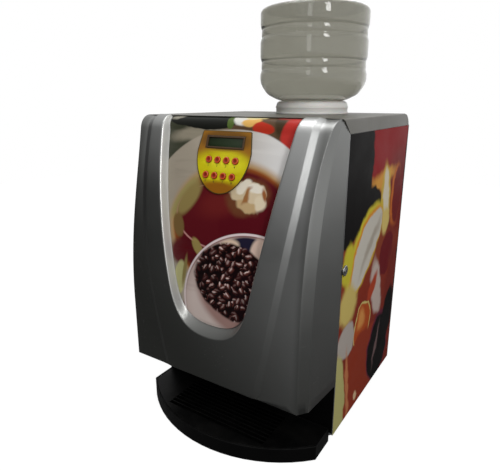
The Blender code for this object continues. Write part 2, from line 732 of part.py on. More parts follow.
def make_lock():
    """A cam lock, drawn unlocked: the cam stands up, and a quarter turn hooks it before the strike."""
    flange = LOCK_FLANGE_THICKNESS
    barrel = [(LOCK_BORE, flange), (LOCK_FLANGE - MM, flange), (LOCK_FLANGE, flange - MM), (LOCK_FLANGE, 0),
              (LOCK_RADIUS, 0), (LOCK_RADIUS, -LOCK_LENGTH), (LOCK_BORE, -LOCK_LENGTH)]
    turned("lock_barrel", barrel, facing(lock_point(HALF + GAP), (1, 0, 0)), "steel", 20, closed=True)
    face = HALF + KNUCKLE_RADIUS
    inner = HALF + GAP - LOCK_LENGTH - MM
    plug = rod("lock_plug", lock_point(inner), lock_point(face), LOCK_BORE - GAP, "steel", 16)
    keyway = box("keyway", (face - 3 * MM, face + MM),
                 (Y_CABINET + LOCK_BACK - 0.8 * MM, Y_CABINET + LOCK_BACK + 0.8 * MM),
                 (LOCK_HEIGHT - 3 * MM, LOCK_HEIGHT + 3 * MM))
    cut(plug, keyway)
    back = Y_CABINET + LOCK_BACK
    xs = (inner - GAP - CAM_THICKNESS, inner - GAP)
    cam = box("lock_cam", xs, (back - CAM_HALF, back + CAM_HALF),
              (LOCK_HEIGHT - CAM_HALF, LOCK_HEIGHT + CAM_REACH), "zinc")
    hook = box("lock_hook", xs, (back - CAM_HALF - CAM_HOOK, back),
               (LOCK_HEIGHT + CAM_REACH - 5 * MM, LOCK_HEIGHT + CAM_REACH))
    return [plug, join(cam, hook)]


def side_panel(name, side):
    xs = sorted((side * HALF, side * (HALF - SHEET)))
    return box(name, xs, (Y_CABINET, Y_REAR), (Z_FLOOR, Z_SIDE), "printed")


def make_cabinet():
    inner = HALF - SHEET - GAP
    base_top = Z_FLOOR + SHEET
    left = side_panel("left_side_panel", -1)
    notch = KNUCKLE_RADIUS + LEAF_CLEARANCE
    cut(left, box("side_hinge_notch", (HINGE.x - notch, HINGE.x + notch),
                  (HINGE.y - notch, HINGE.y + notch), (HINGE_BOTTOM - MM, HINGE_TOP + MM)))
    right = side_panel("right_side_panel", 1)
    cut(right, rod("lock_hole", lock_point(HALF - 10 * MM), lock_point(HALF + 10 * MM), LOCK_RADIUS + GAP))
    rear_face = Y_REAR_PANEL - SHEET
    box("base_plate", (-inner, inner), (Y_CABINET, rear_face - GAP), (Z_FLOOR, base_top), "zinc")
    rear = box("rear_panel", (-inner, inner), (rear_face, Y_REAR_PANEL), (Z_FLOOR, Z_SIDE - GAP), "zinc")
    for i in range(VENT_SLOTS):
        z = VENT_BOTTOM + i * VENT_PITCH
        cut(rear, box(f"vent_{i}", (-VENT_HALF, VENT_HALF), (rear_face - MM, Y_REAR_PANEL + MM),
                      (z, z + VENT_WIDTH)))
    cut(rear, box("inlet_hole", (INLET_X - 24 * MM, INLET_X + 24 * MM), (rear_face - MM, Y_REAR_PANEL + MM),
                  (INLET_HEIGHT - 13 * MM, INLET_HEIGHT + 13 * MM)))
    make_bay_and_decks(inner, base_top)
    for x, side in ((-1, "left"), (1, "right")):
        for y, end in ((Y_CABINET + FOOT_INSET, "front"), (Y_REAR - REAR_FOOT_INSET, "rear")):
            spot = x * (HALF - FOOT_INSET)
            rod(f"foot_{end}_{side}", (spot, y, 0), (spot, y, Z_FLOOR - GAP), FOOT_RADIUS, "rubber", 20)


def make_bay_and_decks(inner, base_top):
    """The cup bay's back, the canister shelf and the bulkhead between powder and boiler."""
    bay_y = Y_CABINET + BAY_SETBACK
    bay = box("cup_bay_panel", (-inner, inner), (bay_y, bay_y + SHEET), (base_top + GAP, BAY_TOP), "black")
    for side in (-1, 1):
        xs = sorted((side * (TONGUE_X[0] - MM), side * (TONGUE_X[1] + MM)))
        cut(bay, box(f"tongue_slot_{side}", xs, (bay_y - MM, bay_y + SHEET + MM),
                     (base_top - MM, TONGUE_Z[1] + MM)))
    shelf = (SHELF_HEIGHT, SHELF_HEIGHT + SHEET)
    shelf_half = inner - LEAF_THICKNESS - 2 * GAP
    box("canister_shelf", (-shelf_half, shelf_half), (CANISTER_FRONT, Y_BULKHEAD - GAP), shelf, "zinc")
    bulkhead = box("inner_bulkhead", (-inner, inner), (Y_BULKHEAD, Y_BULKHEAD + SHEET),
                   (base_top + GAP, BULKHEAD_TOP), "zinc")
    for side in (-1, 1):
        reach = 20 * MM
        hose_x = side * hose_route()[3][0]
        cut(bulkhead,
            rod(f"auger_hole_{side}", (side * LANE_X, Y_BULKHEAD - reach, AUGER_HEIGHT),
                (side * LANE_X, Y_BULKHEAD + reach, AUGER_HEIGHT), AUGER_SHAFT + MM, sides=12),
            rod(f"hose_hole_{side}", (hose_x, Y_BULKHEAD - reach, hose_route()[3][2]),
                (hose_x, Y_BULKHEAD + reach, hose_route()[3][2]), HOSE_RADIUS + 2.5 * MM, sides=12))


def cover_outline(inset, low):
    """Side view of the top cover: mitred nose, level top, rounded rear edge."""
    nose = Y_CABINET
    rear = Y_REAR - inset
    radius = COVER_HEIGHT * 1.2
    drop = [(rear - radius + radius * math.sin(t), Z_TOP - inset - radius + radius * math.cos(t))
            for t in (math.radians(90 * i / 6) for i in range(6))]
    drop = [(y, z) for y, z in drop if z > Z_SIDE + GAP + 2 * MM]
    return [
        (nose + inset, low),
        (nose + inset, Z_SIDE + GAP + inset),
        (nose - MITRE_RUN + inset * 1.6, Z_TOP - inset),
        *drop,
        (rear, low),
    ]


def make_top_cover():
    cover = slab("top_cover", cover_outline(0, Z_SIDE + GAP), -HALF, HALF, "grey", "X")
    soften_cover(cover)
    inner = HALF - COVER_WALL
    cut(cover, slab("cover_hollow", cover_outline(COVER_WALL, Z_SIDE - MM), -inner, inner, normal="X"))
    hole = rod("bottle_hole", BOTTLE + Vector((0, 0, Z_TOP - 20 * MM)), BOTTLE + Vector((0, 0, Z_TOP + MM)),
               RESERVOIR_RADIUS + MM, sides=28)
    return cut(cover, hole)


def soften_cover(cover):
    """Rounds the long upper edges on both flanks of the cover."""
    bm = bmesh.new()
    bm.from_mesh(cover.data)
    bmesh.ops.remove_doubles(bm, verts=bm.verts, dist=0.00001)
    low = Z_SIDE + GAP + MM
    flank = HALF - 0.01 * MM
    edges = [e for e in bm.edges if all(abs(v.co.x) > flank and v.co.z > low for v in e.verts)
             and e.verts[0].co.x * e.verts[1].co.x > 0]
    bmesh.ops.bevel(bm, geom=edges, offset=COVER_EDGE, segments=2, profile=0.5, affect="EDGES")
    bm.to_mesh(cover.data)
    bm.free()


def tray_outline(inset):
    """D-shaped: a bowed front between two corners, and straight sides back to the cabinet."""
    sagitta = TRAY_CORNER + TRAY_OVERHANG
    radius = (TRAY_HALF ** 2 + sagitta ** 2) / (2 * sagitta)
    sweep = math.degrees(math.asin(TRAY_HALF / radius))
    centre = (0, Y_DOOR - TRAY_OVERHANG + radius)
    bow = arc(centre, radius - inset, -90 - sweep, -90 + sweep, 20)
    bow = [(x, y) for x, y in bow if abs(x) < TRAY_HALF - inset - MM]
    slope = math.tan(math.radians(sweep))
    corner_y = Y_DOOR + TRAY_CORNER + inset * slope
    rear = Y_DOOR_REAR - inset
    side = TRAY_HALF - inset
    return [(-side, corner_y), *bow, (side, corner_y), (side, rear), (-side, rear)]


def make_drip_tray():
    top = TRAY_LIFT + TRAY_HEIGHT
    seat = top - GRILLE_THICKNESS - MM
    tray = slab("drip_tray", tray_outline(0), TRAY_LIFT, top, "black")
    for side in (-1, 1):
        xs = sorted((side * TONGUE_X[0], side * TONGUE_X[1]))
        tongue = box(f"tongue_{side}", xs, (Y_DOOR_REAR - MM, Y_DOOR_REAR + TONGUE_LENGTH), TONGUE_Z)
        join(tray, tongue)
    cut(tray, slab("tray_upper", tray_outline(TRAY_WALL), seat, top + MM),
        slab("tray_lower", tray_outline(TRAY_WALL + TRAY_LEDGE), TRAY_LIFT + TRAY_WALL, top + MM))
    grille = slab("drip_grille", tray_outline(TRAY_WALL + 0.7 * MM), seat + GAP,
                  seat + GAP + GRILLE_THICKNESS, "black")
    field = (Y_DOOR + 8 * MM, Y_DOOR_REAR - 14 * MM)
    pitch = (field[1] - field[0]) / GRILLE_SLOTS
    for i in range(GRILLE_SLOTS):
        y = field[0] + i * pitch
        cut(grille, box(f"slot_{i}", (-110 * MM, 110 * MM), (y, y + SLOT_WIDTH), (seat - MM, top + MM)))
    return tray, grille


def canister_outline(inset):
    """Front view of a canister: upright sides, sloping in to a round trough."""
    half = CANISTER_WIDTH / 2 - inset
    radius = TROUGH_RADIUS - inset
    low = [(x, z) for x, z in arc((0, AUGER_HEIGHT), radius, 200, 340, 8)]
    slope = AUGER_HEIGHT + TROUGH_SLOPE
    top = SHELF_HEIGHT + SHEET + GAP + CANISTER_HEIGHT + (10 * MM if inset else 0)
    return [(-half, top), (-half, slope), *low, (half, slope), (half, top)]


def make_lane(x, side):
    canister_top = SHELF_HEIGHT + SHEET + GAP + CANISTER_HEIGHT
    back = CANISTER_FRONT + CANISTER_DEPTH
    wall = CANISTER_WALL
    shift = Matrix.Translation((x, 0, 0))
    canister = slab(f"canister_{side}", canister_outline(0), CANISTER_FRONT, back, "white", "Y")
    space = slab(f"canister_space_{side}", canister_outline(wall), CANISTER_FRONT + wall, back - wall,
                 normal="Y")
    nozzle_end = CANISTER_FRONT - NOZZLE_LENGTH
    nozzle = rod(f"nozzle_{side}", (0, nozzle_end, AUGER_HEIGHT),
                 (0, CANISTER_FRONT + wall / 2, AUGER_HEIGHT), TROUGH_RADIUS)
    bore = rod(f"nozzle_bore_{side}", (0, nozzle_end - MM, AUGER_HEIGHT),
               (0, CANISTER_FRONT + 5 * MM, AUGER_HEIGHT), TROUGH_RADIUS - wall)
    shaft_hole = rod(f"shaft_hole_{side}", (0, back - 5 * MM, AUGER_HEIGHT), (0, back + MM, AUGER_HEIGHT),
                     AUGER_SHAFT + MM, sides=12)
    join(canister, nozzle)
    cut(canister, space, bore, shaft_hole)
    for obj in (canister, nozzle, space, bore, shaft_hole):
        obj.data.transform(shift)
    half = CANISTER_WIDTH / 2
    lid = box(f"canister_lid_{side}", (x - half - 2 * MM, x + half + 2 * MM),
              (CANISTER_FRONT - 2 * MM, back + 2 * MM),
              (canister_top + GAP, canister_top + GAP + LID_THICKNESS), "white")
    rim = box(f"lid_rim_{side}", (x - half + wall + MM, x + half - wall - MM),
              (CANISTER_FRONT + wall + MM, back - wall - MM), (canister_top - 5 * MM, canister_top + MM))
    join(lid, rim)
    auger = make_auger(x, side, nozzle_end + 4 * MM, back)
    motor_y = Y_BULKHEAD + SHEET + GAP
    motor = box(f"auger_motor_{side}", (x - 20 * MM, x + 20 * MM), (motor_y, motor_y + 22 * MM),
                (AUGER_HEIGHT - 16 * MM, AUGER_HEIGHT + 26 * MM), "zinc")
    join(motor, rod(f"motor_can_{side}", (x, motor_y + 20 * MM, AUGER_HEIGHT + 8 * MM),
                    (x, motor_y + 38 * MM, AUGER_HEIGHT + 8 * MM), 15 * MM, sides=20))
    cut(motor, rod(f"motor_socket_{side}", (x, motor_y - MM, AUGER_HEIGHT),
                   (x, motor_y + 12 * MM, AUGER_HEIGHT), AUGER_SHAFT + MM / 2, sides=12))
    return lid, auger


def make_auger(x, side, start, back):
    """A wire auger: a coil on a hub, whose shaft runs back into the motor."""
    per_turn = 8
    count = AUGER_TURNS * per_turn
    hub_y = back - CANISTER_WALL - 4 * MM - AUGER_HUB
    points = []
    for i in range(count + 1):
        turn = 2 * math.pi * i / per_turn
        y = start + (hub_y + AUGER_HUB / 2 - start) * i / count
        points.append((x + AUGER_RADIUS * math.cos(turn), y, AUGER_HEIGHT + AUGER_RADIUS * math.sin(turn)))
    coil = as_mesh(tube(f"auger_{side}", points, AUGER_WIRE, "white"), "white")
    shaft_end = Y_BULKHEAD + SHEET + 9 * MM
    return join(coil,
                rod(f"auger_hub_{side}", (x, hub_y, AUGER_HEIGHT), (x, hub_y + AUGER_HUB, AUGER_HEIGHT),
                    AUGER_RADIUS + AUGER_WIRE / 2),
                rod(f"auger_shaft_{side}", (x, hub_y + MM, AUGER_HEIGHT), (x, shaft_end, AUGER_HEIGHT),
                    AUGER_SHAFT, sides=12))


def make_mixer(x, side):
    """A turned mixing bowl with its spout, and the whipper that enters it from behind."""
    y = Y_CABINET + BOWL_Y
    wall = BOWL_WALL
    outer = [(BOWL_RADIUS, BOWL_TOP), (BOWL_RADIUS, BOWL_TOP - 18 * MM), (CHAMBER_RADIUS, CHAMBER_TOP),
             (CHAMBER_RADIUS, CHAMBER_BOTTOM), (SPOUT_RADIUS, CHAMBER_BOTTOM - 12 * MM),
             (SPOUT_RADIUS, SPOUT_END)]
    inner = [(r - wall, z if i in (0, 5) else z + wall / 2) for i, (r, z) in enumerate(outer)]
    bowl = turned(f"mixing_bowl_{side}", outer + inner[::-1], at(x, y, 0), "milky", 20, closed=True)
    cut(bowl, rod(f"whipper_port_{side}", (x, y + CHAMBER_RADIUS / 2, WHIPPER_HEIGHT),
                  (x, y + CHAMBER_RADIUS + 5 * MM, WHIPPER_HEIGHT), WHIPPER_PORT))
    motor_back = Y_BULKHEAD - GAP
    motor_front = motor_back - WHIP_MOTOR_LENGTH
    disc = 4 * MM
    shaft_end = motor_front + 8 * MM - (y - disc)
    profile = [(0, 0), (WHIPPER_DISC, 0), (WHIPPER_DISC, -2 * disc), (WHIPPER_SHAFT, -2 * disc),
               (WHIPPER_SHAFT, -shaft_end), (0, -shaft_end)]
    turned(f"whipper_{side}", profile, facing((x, y - disc, WHIPPER_HEIGHT), (0, -1, 0)), "white", 16)
    motor = rod(f"whipper_motor_{side}", (x, motor_front, WHIPPER_HEIGHT), (x, motor_back, WHIPPER_HEIGHT),
                WHIP_MOTOR_RADIUS, "steel", 20)
    cut(motor, rod(f"whipper_socket_{side}", (x, motor_front - MM, WHIPPER_HEIGHT),
                   (x, motor_front + 10 * MM, WHIPPER_HEIGHT), WHIPPER_SHAFT + 0.5 * MM, sides=12))


def hose_route():
    """Points of the right-hand hose, from its valve through the bulkhead to over the bowl's rim."""
    valve_y = Y_BULKHEAD + SHEET + GAP + 13 * MM
    level = BOWL_TOP + 9 * MM
    bowl_y = Y_CABINET + BOWL_Y
    return [
        (VALVE_X, valve_y, VALVE_HEIGHT - HOSE_CLEARANCE),
        (VALVE_X, valve_y, VALVE_HEIGHT - 8 * MM),
        (VALVE_X + 3 * MM, valve_y - 7 * MM, level + 3 * MM),
        (VALVE_X + 9 * MM, Y_BULKHEAD, level),
        (VALVE_X + 16 * MM, Y_BULKHEAD - 50 * MM, level),
        (LANE_X - 32 * MM, bowl_y + 50 * MM, level),
        (LANE_X - 24 * MM, bowl_y + 20 * MM, level),
        (LANE_X - 20 * MM, bowl_y + 10 * MM, level - 5 * MM),
    ]


def make_valve(sign, side):
    """A solenoid valve on the bulkhead: a brass body under a round coil."""
    ys = (Y_BULKHEAD + SHEET + GAP, Y_BULKHEAD + SHEET + GAP + 26 * MM)
    x = sign * VALVE_X
    body = box(f"valve_{side}", (x - 13 * MM, x + 13 * MM), ys, (VALVE_HEIGHT, VALVE_HEIGHT + 26 * MM),
               "zinc")
    top = VALVE_HEIGHT + 52 * MM
    join(body, rod(f"valve_coil_{side}", (x, sum(ys) / 2, VALVE_HEIGHT + 25 * MM), (x, sum(ys) / 2, top),
                   11 * MM, sides=20))
    tube(f"hose_{side}", smooth_route([(sign * p[0], p[1], p[2]) for p in hose_route()], 3), HOSE_RADIUS,
         "silicone")


def make_boiler():
    """An open-topped tank with its lid, hung from the bulkhead by two welded straps."""
    r = BOILER_RADIUS
    wall = SHEET
    top = BOILER_HEIGHT
    tank = turned("boiler_tank", [(0, wall), (r - wall, wall), (r - wall, top), (r, top), (r, 0), (0, 0)],
                  at(*BOILER), "steel", 28)
    for i, z in enumerate((BOILER_BOTTOM + 62 * MM, BOILER_BOTTOM + 130 * MM)):
        strap = box(f"boiler_strap_{i}", (-18 * MM, 18 * MM),
                    (Y_BULKHEAD + SHEET + GAP, BOILER.y - r * 0.97 + wall / 2), (z, z + 12 * MM))
        join(tank, strap)
    # The straps' ends stop inside the tank's wall, so the tank is hollowed again.
    cut(tank, rod("tank_space", BOILER + Vector((0, 0, wall + MM)), BOILER + Vector((0, 0, top + MM)),
                  (r - wall) * 0.999, sides=28))
    lid = [(0, 3 * MM), (r + MM, 3 * MM), (r + MM, 0), (0, 0)]
    turned("boiler_lid", lid, at(BOILER.x, BOILER.y, BOILER_BOTTOM + top + GAP), "steel", 28)


def make_reservoir():
    """The cup under the bottle: its flange hangs on the cover, its stub feeds the boiler's hose."""
    r = RESERVOIR_RADIUS
    wall = BOTTLE_WALL
    low = Z_TOP - RESERVOIR_DEPTH
    stub = 6 * MM
    outer = [(RESERVOIR_FLANGE, FLANGE_TOP), (RESERVOIR_FLANGE, Z_TOP + GAP), (r, Z_TOP + GAP), (r, low),
             (stub, low - 6 * MM), (stub, low - 14 * MM)]
    inner = [(stub - wall, low - 14 * MM), (stub - wall, low - 6 * MM + wall), (r - wall, low + wall),
             (r - wall, FLANGE_TOP)]
    turned("water_reservoir", outer + inner, at(BOTTLE.x, BOTTLE.y, 0), "milky", 24, closed=True)
    start = Vector((BOTTLE.x, BOTTLE.y, low - 14 * MM - HOSE_CLEARANCE))
    lid_top = BOILER_BOTTOM + BOILER_HEIGHT + GAP + 3 * MM
    end = Vector((BOTTLE.x, BOTTLE.y, lid_top + HOSE_CLEARANCE))
    tube("inlet_hose", [start, end], INLET_HOSE_RADIUS, "silicone")


def make_collar_and_bottle():
    r = COLLAR_RADIUS
    low = Z_TOP + GAP
    step = FLANGE_TOP + GAP
    flange = RESERVOIR_FLANGE + 0.7 * MM
    lip = COLLAR_BORE
    collar = [(lip, COLLAR_TOP), (r - 4 * MM, COLLAR_TOP), (r - 2 * MM, COLLAR_TOP - 3 * MM),
              (r - MM, low + 13 * MM), (r, low + 10 * MM), (r, low + 7 * MM), (r - MM, low + 4 * MM),
              (r - MM, low), (flange, low), (flange, step), (lip, step)]
    turned("bottle_collar", collar, at(BOTTLE.x, BOTTLE.y, 0), "milky", 24, closed=True)
    outer = bottle_profile()
    wall = BOTTLE_WALL
    inner = [(max(rad - wall, 0), z - wall if i < 2 else z) for i, (rad, z) in enumerate(outer)]
    inner = [(0, outer[0][1] - wall)] + inner[1:]
    place = at(BOTTLE.x, BOTTLE.y, COLLAR_TOP + GAP)
    turned("water_bottle", outer + inner[::-1], place, "clear", 24)


def bottle_profile():
    """Outer side of the inverted bottle, from its base downwards; height 0 is where it rests."""
    r = BOTTLE_RADIUS
    top = BOTTLE_HEIGHT
    ribs = []
    for z in (top - 50 * MM, top - 100 * MM):
        ribs += [(r, z + 6 * MM), (r - 3.5 * MM, z), (r, z - 6 * MM)]
    return [
        (0, top),
        (r - 8 * MM, top),
        (r - 2 * MM, top - 4 * MM),
        (r, top - 12 * MM),
        *ribs,
        (r - 2 * MM, 38 * MM),
        (r - 6 * MM, 20 * MM),
        (r - 16 * MM, 9 * MM),
        (COLLAR_RADIUS - 2 * MM, 1 * MM),
        (COLLAR_BORE - MM, 0),
        (NECK_RADIUS, -14 * MM),
        (NECK_RADIUS, -NECK_LENGTH),
    ]


def make_power():
    """The supply on the base, and the inlet with its rocker switch in the rear panel."""
    width, depth, height = SUPPLY_SIZE
    base_top = Z_FLOOR + SHEET + GAP
    box("power_supply", (-HALF + 30 * MM, -HALF + 30 * MM + width),
        (Y_REAR_PANEL - 30 * MM - depth, Y_REAR_PANEL - 30 * MM), (base_top, base_top + height), "zinc")
    y = Y_REAR_PANEL + GAP
    x = INLET_X
    z = INLET_HEIGHT
    inlet = box("mains_inlet", (x - 27 * MM, x + 27 * MM), (y, y + 2 * MM), (z - 16 * MM, z + 16 * MM),
                "black")
    body = box("inlet_body", (x - 23 * MM, x + 23 * MM), (y - 26 * MM, y + MM), (z - 12 * MM, z + 12 * MM))
    socket = box("inlet_socket", (x - 4 * MM, x + 20 * MM), (y - 18 * MM, y + 5 * MM),
                 (z - 8 * MM, z + 8 * MM))
    well = box("rocker_well", (x - 20.5 * MM, x - 8 * MM), (y - 14 * MM, y + 5 * MM),
               (z - 10.5 * MM, z + 10.5 * MM))
    join(inlet, body)
    cut(inlet, socket, well)
    for i, (dx, dz) in enumerate(((0, 2.5 * MM), (8 * MM, -3 * MM), (16 * MM, 2.5 * MM))):
        px = x + dx
        join(inlet, box(f"contact_{i}", (px - MM, px + MM), (y - 20 * MM, y - 3 * MM),
                        (z + dz - 2 * MM, z + dz + 2 * MM)))
    make_rocker(x - 14.25 * MM, y, z)


def make_rocker(x, y, z):
    """The rocker, rolled about its pivot, which is this piece's origin."""
    half = ROCKER_SIZE[1] / 2
    pivot = 4 * MM
    outline = [(-6 * MM, -4 * MM), (-6 * MM, 4 * MM), (pivot, half - MM), (pivot + 1.5 * MM, half - MM),
               (pivot, 0), (pivot + 1.5 * MM, -half + MM), (pivot, -half + MM)]
    switch = slab("power_switch", outline, -ROCKER_SIZE[0] / 2, ROCKER_SIZE[0] / 2, "red", "X")
    switch.location = (x, y - pivot, z)


def carry(name, point, objs):
    """An empty on a joint's axis, which carries the pieces that move with it."""
    empty = bpy.data.objects.new(name, None)
    parts.objects.link(empty)
    empty.location = point
    bpy.context.view_layer.update()
    for obj in objs:
        obj.parent = empty
        obj.matrix_parent_inverse = empty.matrix_world.inverted()


def main():
    clear_scene()
    make_cabinet()
    make_top_cover()
    shell = make_door_shell()
    panels = make_front_panels()
    buttons = make_buttons()
    door_leaf = make_hinge()
    carry("door_axis", HINGE, [shell, *panels, *buttons, door_leaf])
    carry("lock_axis", lock_point(HALF), make_lock())
    tray, grille = make_drip_tray()
    carry("tray_slide", (0, Y_DOOR_REAR, TRAY_LIFT), [tray, grille])
    for sign, side in ((-1, "left"), (1, "right")):
        x = sign * LANE_X
        lid, auger = make_lane(x, side)
        carry(f"lid_lift_{side}", (x, CANISTER_FRONT, SHELF_HEIGHT + CANISTER_HEIGHT), [lid])
        carry(f"auger_axis_{side}", (x, Y_BULKHEAD, AUGER_HEIGHT), [auger])
        make_mixer(x, side)
        make_valve(sign, side)
    make_boiler()
    make_reservoir()
    make_collar_and_bottle()
    make_power()


main()
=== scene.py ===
import json
import math
import bmesh
import bpy
from mathutils import Matrix, Vector
from mathutils.geometry import interpolate_bezier


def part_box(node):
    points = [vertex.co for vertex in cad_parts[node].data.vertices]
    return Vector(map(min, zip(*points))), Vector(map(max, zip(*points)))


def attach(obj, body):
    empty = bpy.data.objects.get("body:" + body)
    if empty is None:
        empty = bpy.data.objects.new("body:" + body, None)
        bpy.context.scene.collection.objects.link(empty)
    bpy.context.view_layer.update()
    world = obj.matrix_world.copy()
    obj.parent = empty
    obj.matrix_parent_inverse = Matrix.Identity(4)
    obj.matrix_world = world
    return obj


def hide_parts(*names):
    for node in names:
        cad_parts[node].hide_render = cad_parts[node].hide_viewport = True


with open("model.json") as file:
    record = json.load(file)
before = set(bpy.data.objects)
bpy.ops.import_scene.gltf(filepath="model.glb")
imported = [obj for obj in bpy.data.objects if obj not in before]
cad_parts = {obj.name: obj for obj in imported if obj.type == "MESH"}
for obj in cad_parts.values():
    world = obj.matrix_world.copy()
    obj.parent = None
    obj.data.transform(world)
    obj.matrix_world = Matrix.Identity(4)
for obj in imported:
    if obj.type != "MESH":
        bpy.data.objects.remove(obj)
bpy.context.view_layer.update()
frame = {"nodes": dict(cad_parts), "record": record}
print("frame loaded:", len(frame["nodes"]), "nodes")

mm = 0.001

# places read from the frame
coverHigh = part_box("top_cover")[1]
sideLow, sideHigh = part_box("right_side_panel")
half = coverHigh.x
topZ = coverHigh.z
sideZ = sideHigh.z
cabinetY = sideLow.y
doorRearY = cabinetY - 1 * mm
doorLowZ = 124 * mm
doorY = doorRearY - 110.5 * mm


# shader groups and materials
def rgb(red, green, blue):  # from the usual 0-255 values to linear light
    def linear(value):
        value /= 255
        return value / 12.92 if value <= 0.04045 else ((value + 0.055) / 1.055) ** 2.4
    return (linear(red), linear(green), linear(blue), 1)


def addNode(tree, kind, settings=None, **values):
    node = tree.nodes.new("ShaderNode" + kind)
    for name, value in (settings or {}).items():
        setattr(node, name, value)
    for name, value in values.items():
        put(tree, value, node.inputs[name.replace("_", " ")])
    return node


def put(tree, value, socket):  # a link when value is a socket, or else a plain value
    if isinstance(value, bpy.types.NodeSocket):
        tree.links.new(value, socket)
    else:
        socket.default_value = value


def mathNode(tree, operation, *values, clamp=False):
    node = tree.nodes.new("ShaderNodeMath")
    node.operation = operation
    node.use_clamp = clamp
    for value, socket in zip(values, node.inputs):
        put(tree, value, socket)
    return node.outputs[0]


def vectorNode(tree, operation, *values):
    node = tree.nodes.new("ShaderNodeVectorMath")
    node.operation = operation
    for value, socket in zip(values, node.inputs):
        put(tree, value, socket)
    return node.outputs["Value" if operation in ("LENGTH", "DISTANCE", "DOT_PRODUCT") else "Vector"]


def partsOf(tree, vector):
    return addNode(tree, "SeparateXYZ", Vector=vector).outputs


def turnFlat(tree, vector, angle):
    node = addNode(tree, "VectorRotate", {"rotation_type": "Z_AXIS"}, Vector=vector, Angle=angle)
    return node.outputs["Vector"]


def mixColor(tree, factor, below, above):
    node = tree.nodes.new("ShaderNodeMix")
    node.data_type = "RGBA"
    put(tree, factor, node.inputs["Factor"])
    put(tree, below, node.inputs["A"])
    put(tree, above, node.inputs["B"])
    return [s for s in node.outputs if s.type == "RGBA"][0]


def ramp(tree, value, stops):
    node = tree.nodes.new("ShaderNodeValToRGB")
    elements = node.color_ramp.elements
    while len(elements) < len(stops):
        elements.new(1)
    for element, (place, color) in zip(elements, stops):
        element.position = place
        element.color = color if len(color) == 4 else (*color, 1)
    put(tree, value, node.inputs["Fac"])
    return node.outputs["Color"]


def spread(tree, value, low, high, toLow=0.0, toHigh=1.0):
    node = tree.nodes.new("ShaderNodeMapRange")
    node.interpolation_type = "SMOOTHSTEP"
    for socket, setting in zip(node.inputs, (value, low, high, toLow, toHigh)):
        put(tree, setting, socket)
    return node.outputs["Result"]


def noise(tree, vector, scale, detail=2.0, roughness=0.5, kind="Fac"):
    node = addNode(tree, "TexNoise", Vector=vector, Scale=scale, Detail=detail, Roughness=roughness)
    return node.outputs[kind]


def newGroup(name, inputs, outputs):  # each takes a place and some settings, and gives plain numbers
    tree = bpy.data.node_groups.new(name, "ShaderNodeTree")
    for label, value in {"Place": (0, 0, 0), **inputs}.items():
        kind = "NodeSocketVector" if isinstance(value, tuple) else "NodeSocketFloat"
        tree.interface.new_socket(name=label, in_out="INPUT", socket_type=kind).default_value = value
    for label in outputs:
        tree.interface.new_socket(name=label, in_out="OUTPUT", socket_type="NodeSocketFloat")
    return tree, tree.nodes.new("NodeGroupInput").outputs, tree.nodes.new("NodeGroupOutput").inputs


def useGroup(tree, group, **values):
    node = tree.nodes.new("ShaderNodeGroup")
    node.node_tree = group
    for name, value in values.items():
        put(tree, value, node.inputs[name])
    return node.outputs


def makeGrain():  # fine moulded or painted texture: a height, and a slow mottling of the surface
    tree, given, out = newGroup("surfaceGrain", {"Size": 900.0, "Mottle": 14.0}, ("Height", "Patch"))
    fine = noise(tree, given["Place"], given["Size"], 2.0)
    slow = noise(tree, given["Place"], given["Mottle"], 3.0, 0.6)
    put(tree, fine, out["Height"])
    put(tree, spread(tree, slow, 0.3, 0.7), out["Patch"])
    return tree


def makeDust():  # dust that settles on what faces up, thicker in slow patches
    tree, given, out = newGroup("settledDust", {"Amount": 0.3}, ("Mask",))
    normal = tree.nodes.new("ShaderNodeNewGeometry").outputs["Normal"]
    upward = spread(tree, partsOf(tree, normal)["Z"], 0.55, 0.98)
    patches = spread(tree, noise(tree, given["Place"], 22.0, 5.0, 0.65), 0.35, 0.75)
    both = mathNode(tree, "MULTIPLY", upward, patches)
    put(tree, mathNode(tree, "MULTIPLY", both, given["Amount"], clamp=True), out["Mask"])
    return tree


def makeScuffs():  # hairline scratches in a few directions, broken up by a slow noise
    tree, given, out = newGroup("hairlineScuffs", {"Amount": 0.3}, ("Mask",))
    total = 0.0
    for turn, scale in ((0.4, 55.0), (1.9, 70.0), (2.6, 42.0)):
        turned = addNode(tree, "VectorRotate", {"rotation_type": "EULER_XYZ"}, Vector=given["Place"],
                         Rotation=(turn, turn * 0.7, turn * 1.3)).outputs["Vector"]
        drawn = vectorNode(tree, "MULTIPLY", turned, (1.0, 0.03, 1.0))
        streak = noise(tree, drawn, scale * 4, 1.0)
        line = spread(tree, streak, 0.70, 0.76)
        total = mathNode(tree, "MAXIMUM", total, line)
    broken = spread(tree, noise(tree, given["Place"], 9.0, 2.0), 0.5, 0.7)
    both = mathNode(tree, "MULTIPLY", total, broken)
    put(tree, mathNode(tree, "MULTIPLY", both, given["Amount"], clamp=True), out["Mask"])
    return tree


def makeSpot():  # a soft-edged ellipse, for printed pictures
    tree, given, out = newGroup("printedSpot", {"Centre": (0, 0, 0), "Radii": (1, 1, 1), "Turn": 0.0,
                                                "Edge": 0.03}, ("Mask",))
    moved = vectorNode(tree, "SUBTRACT", given["Place"], given["Centre"])
    turned = turnFlat(tree, moved, given["Turn"])
    level = vectorNode(tree, "LENGTH", vectorNode(tree, "DIVIDE", turned, given["Radii"]))
    low = mathNode(tree, "SUBTRACT", 1.0, given["Edge"])
    high = mathNode(tree, "ADD", 1.0, given["Edge"])
    put(tree, spread(tree, level, low, high, 1.0, 0.0), out["Mask"])
    return tree


surfaceGrain = makeGrain()
settledDust = makeDust()
hairlineScuffs = makeScuffs()
printedSpot = makeSpot()


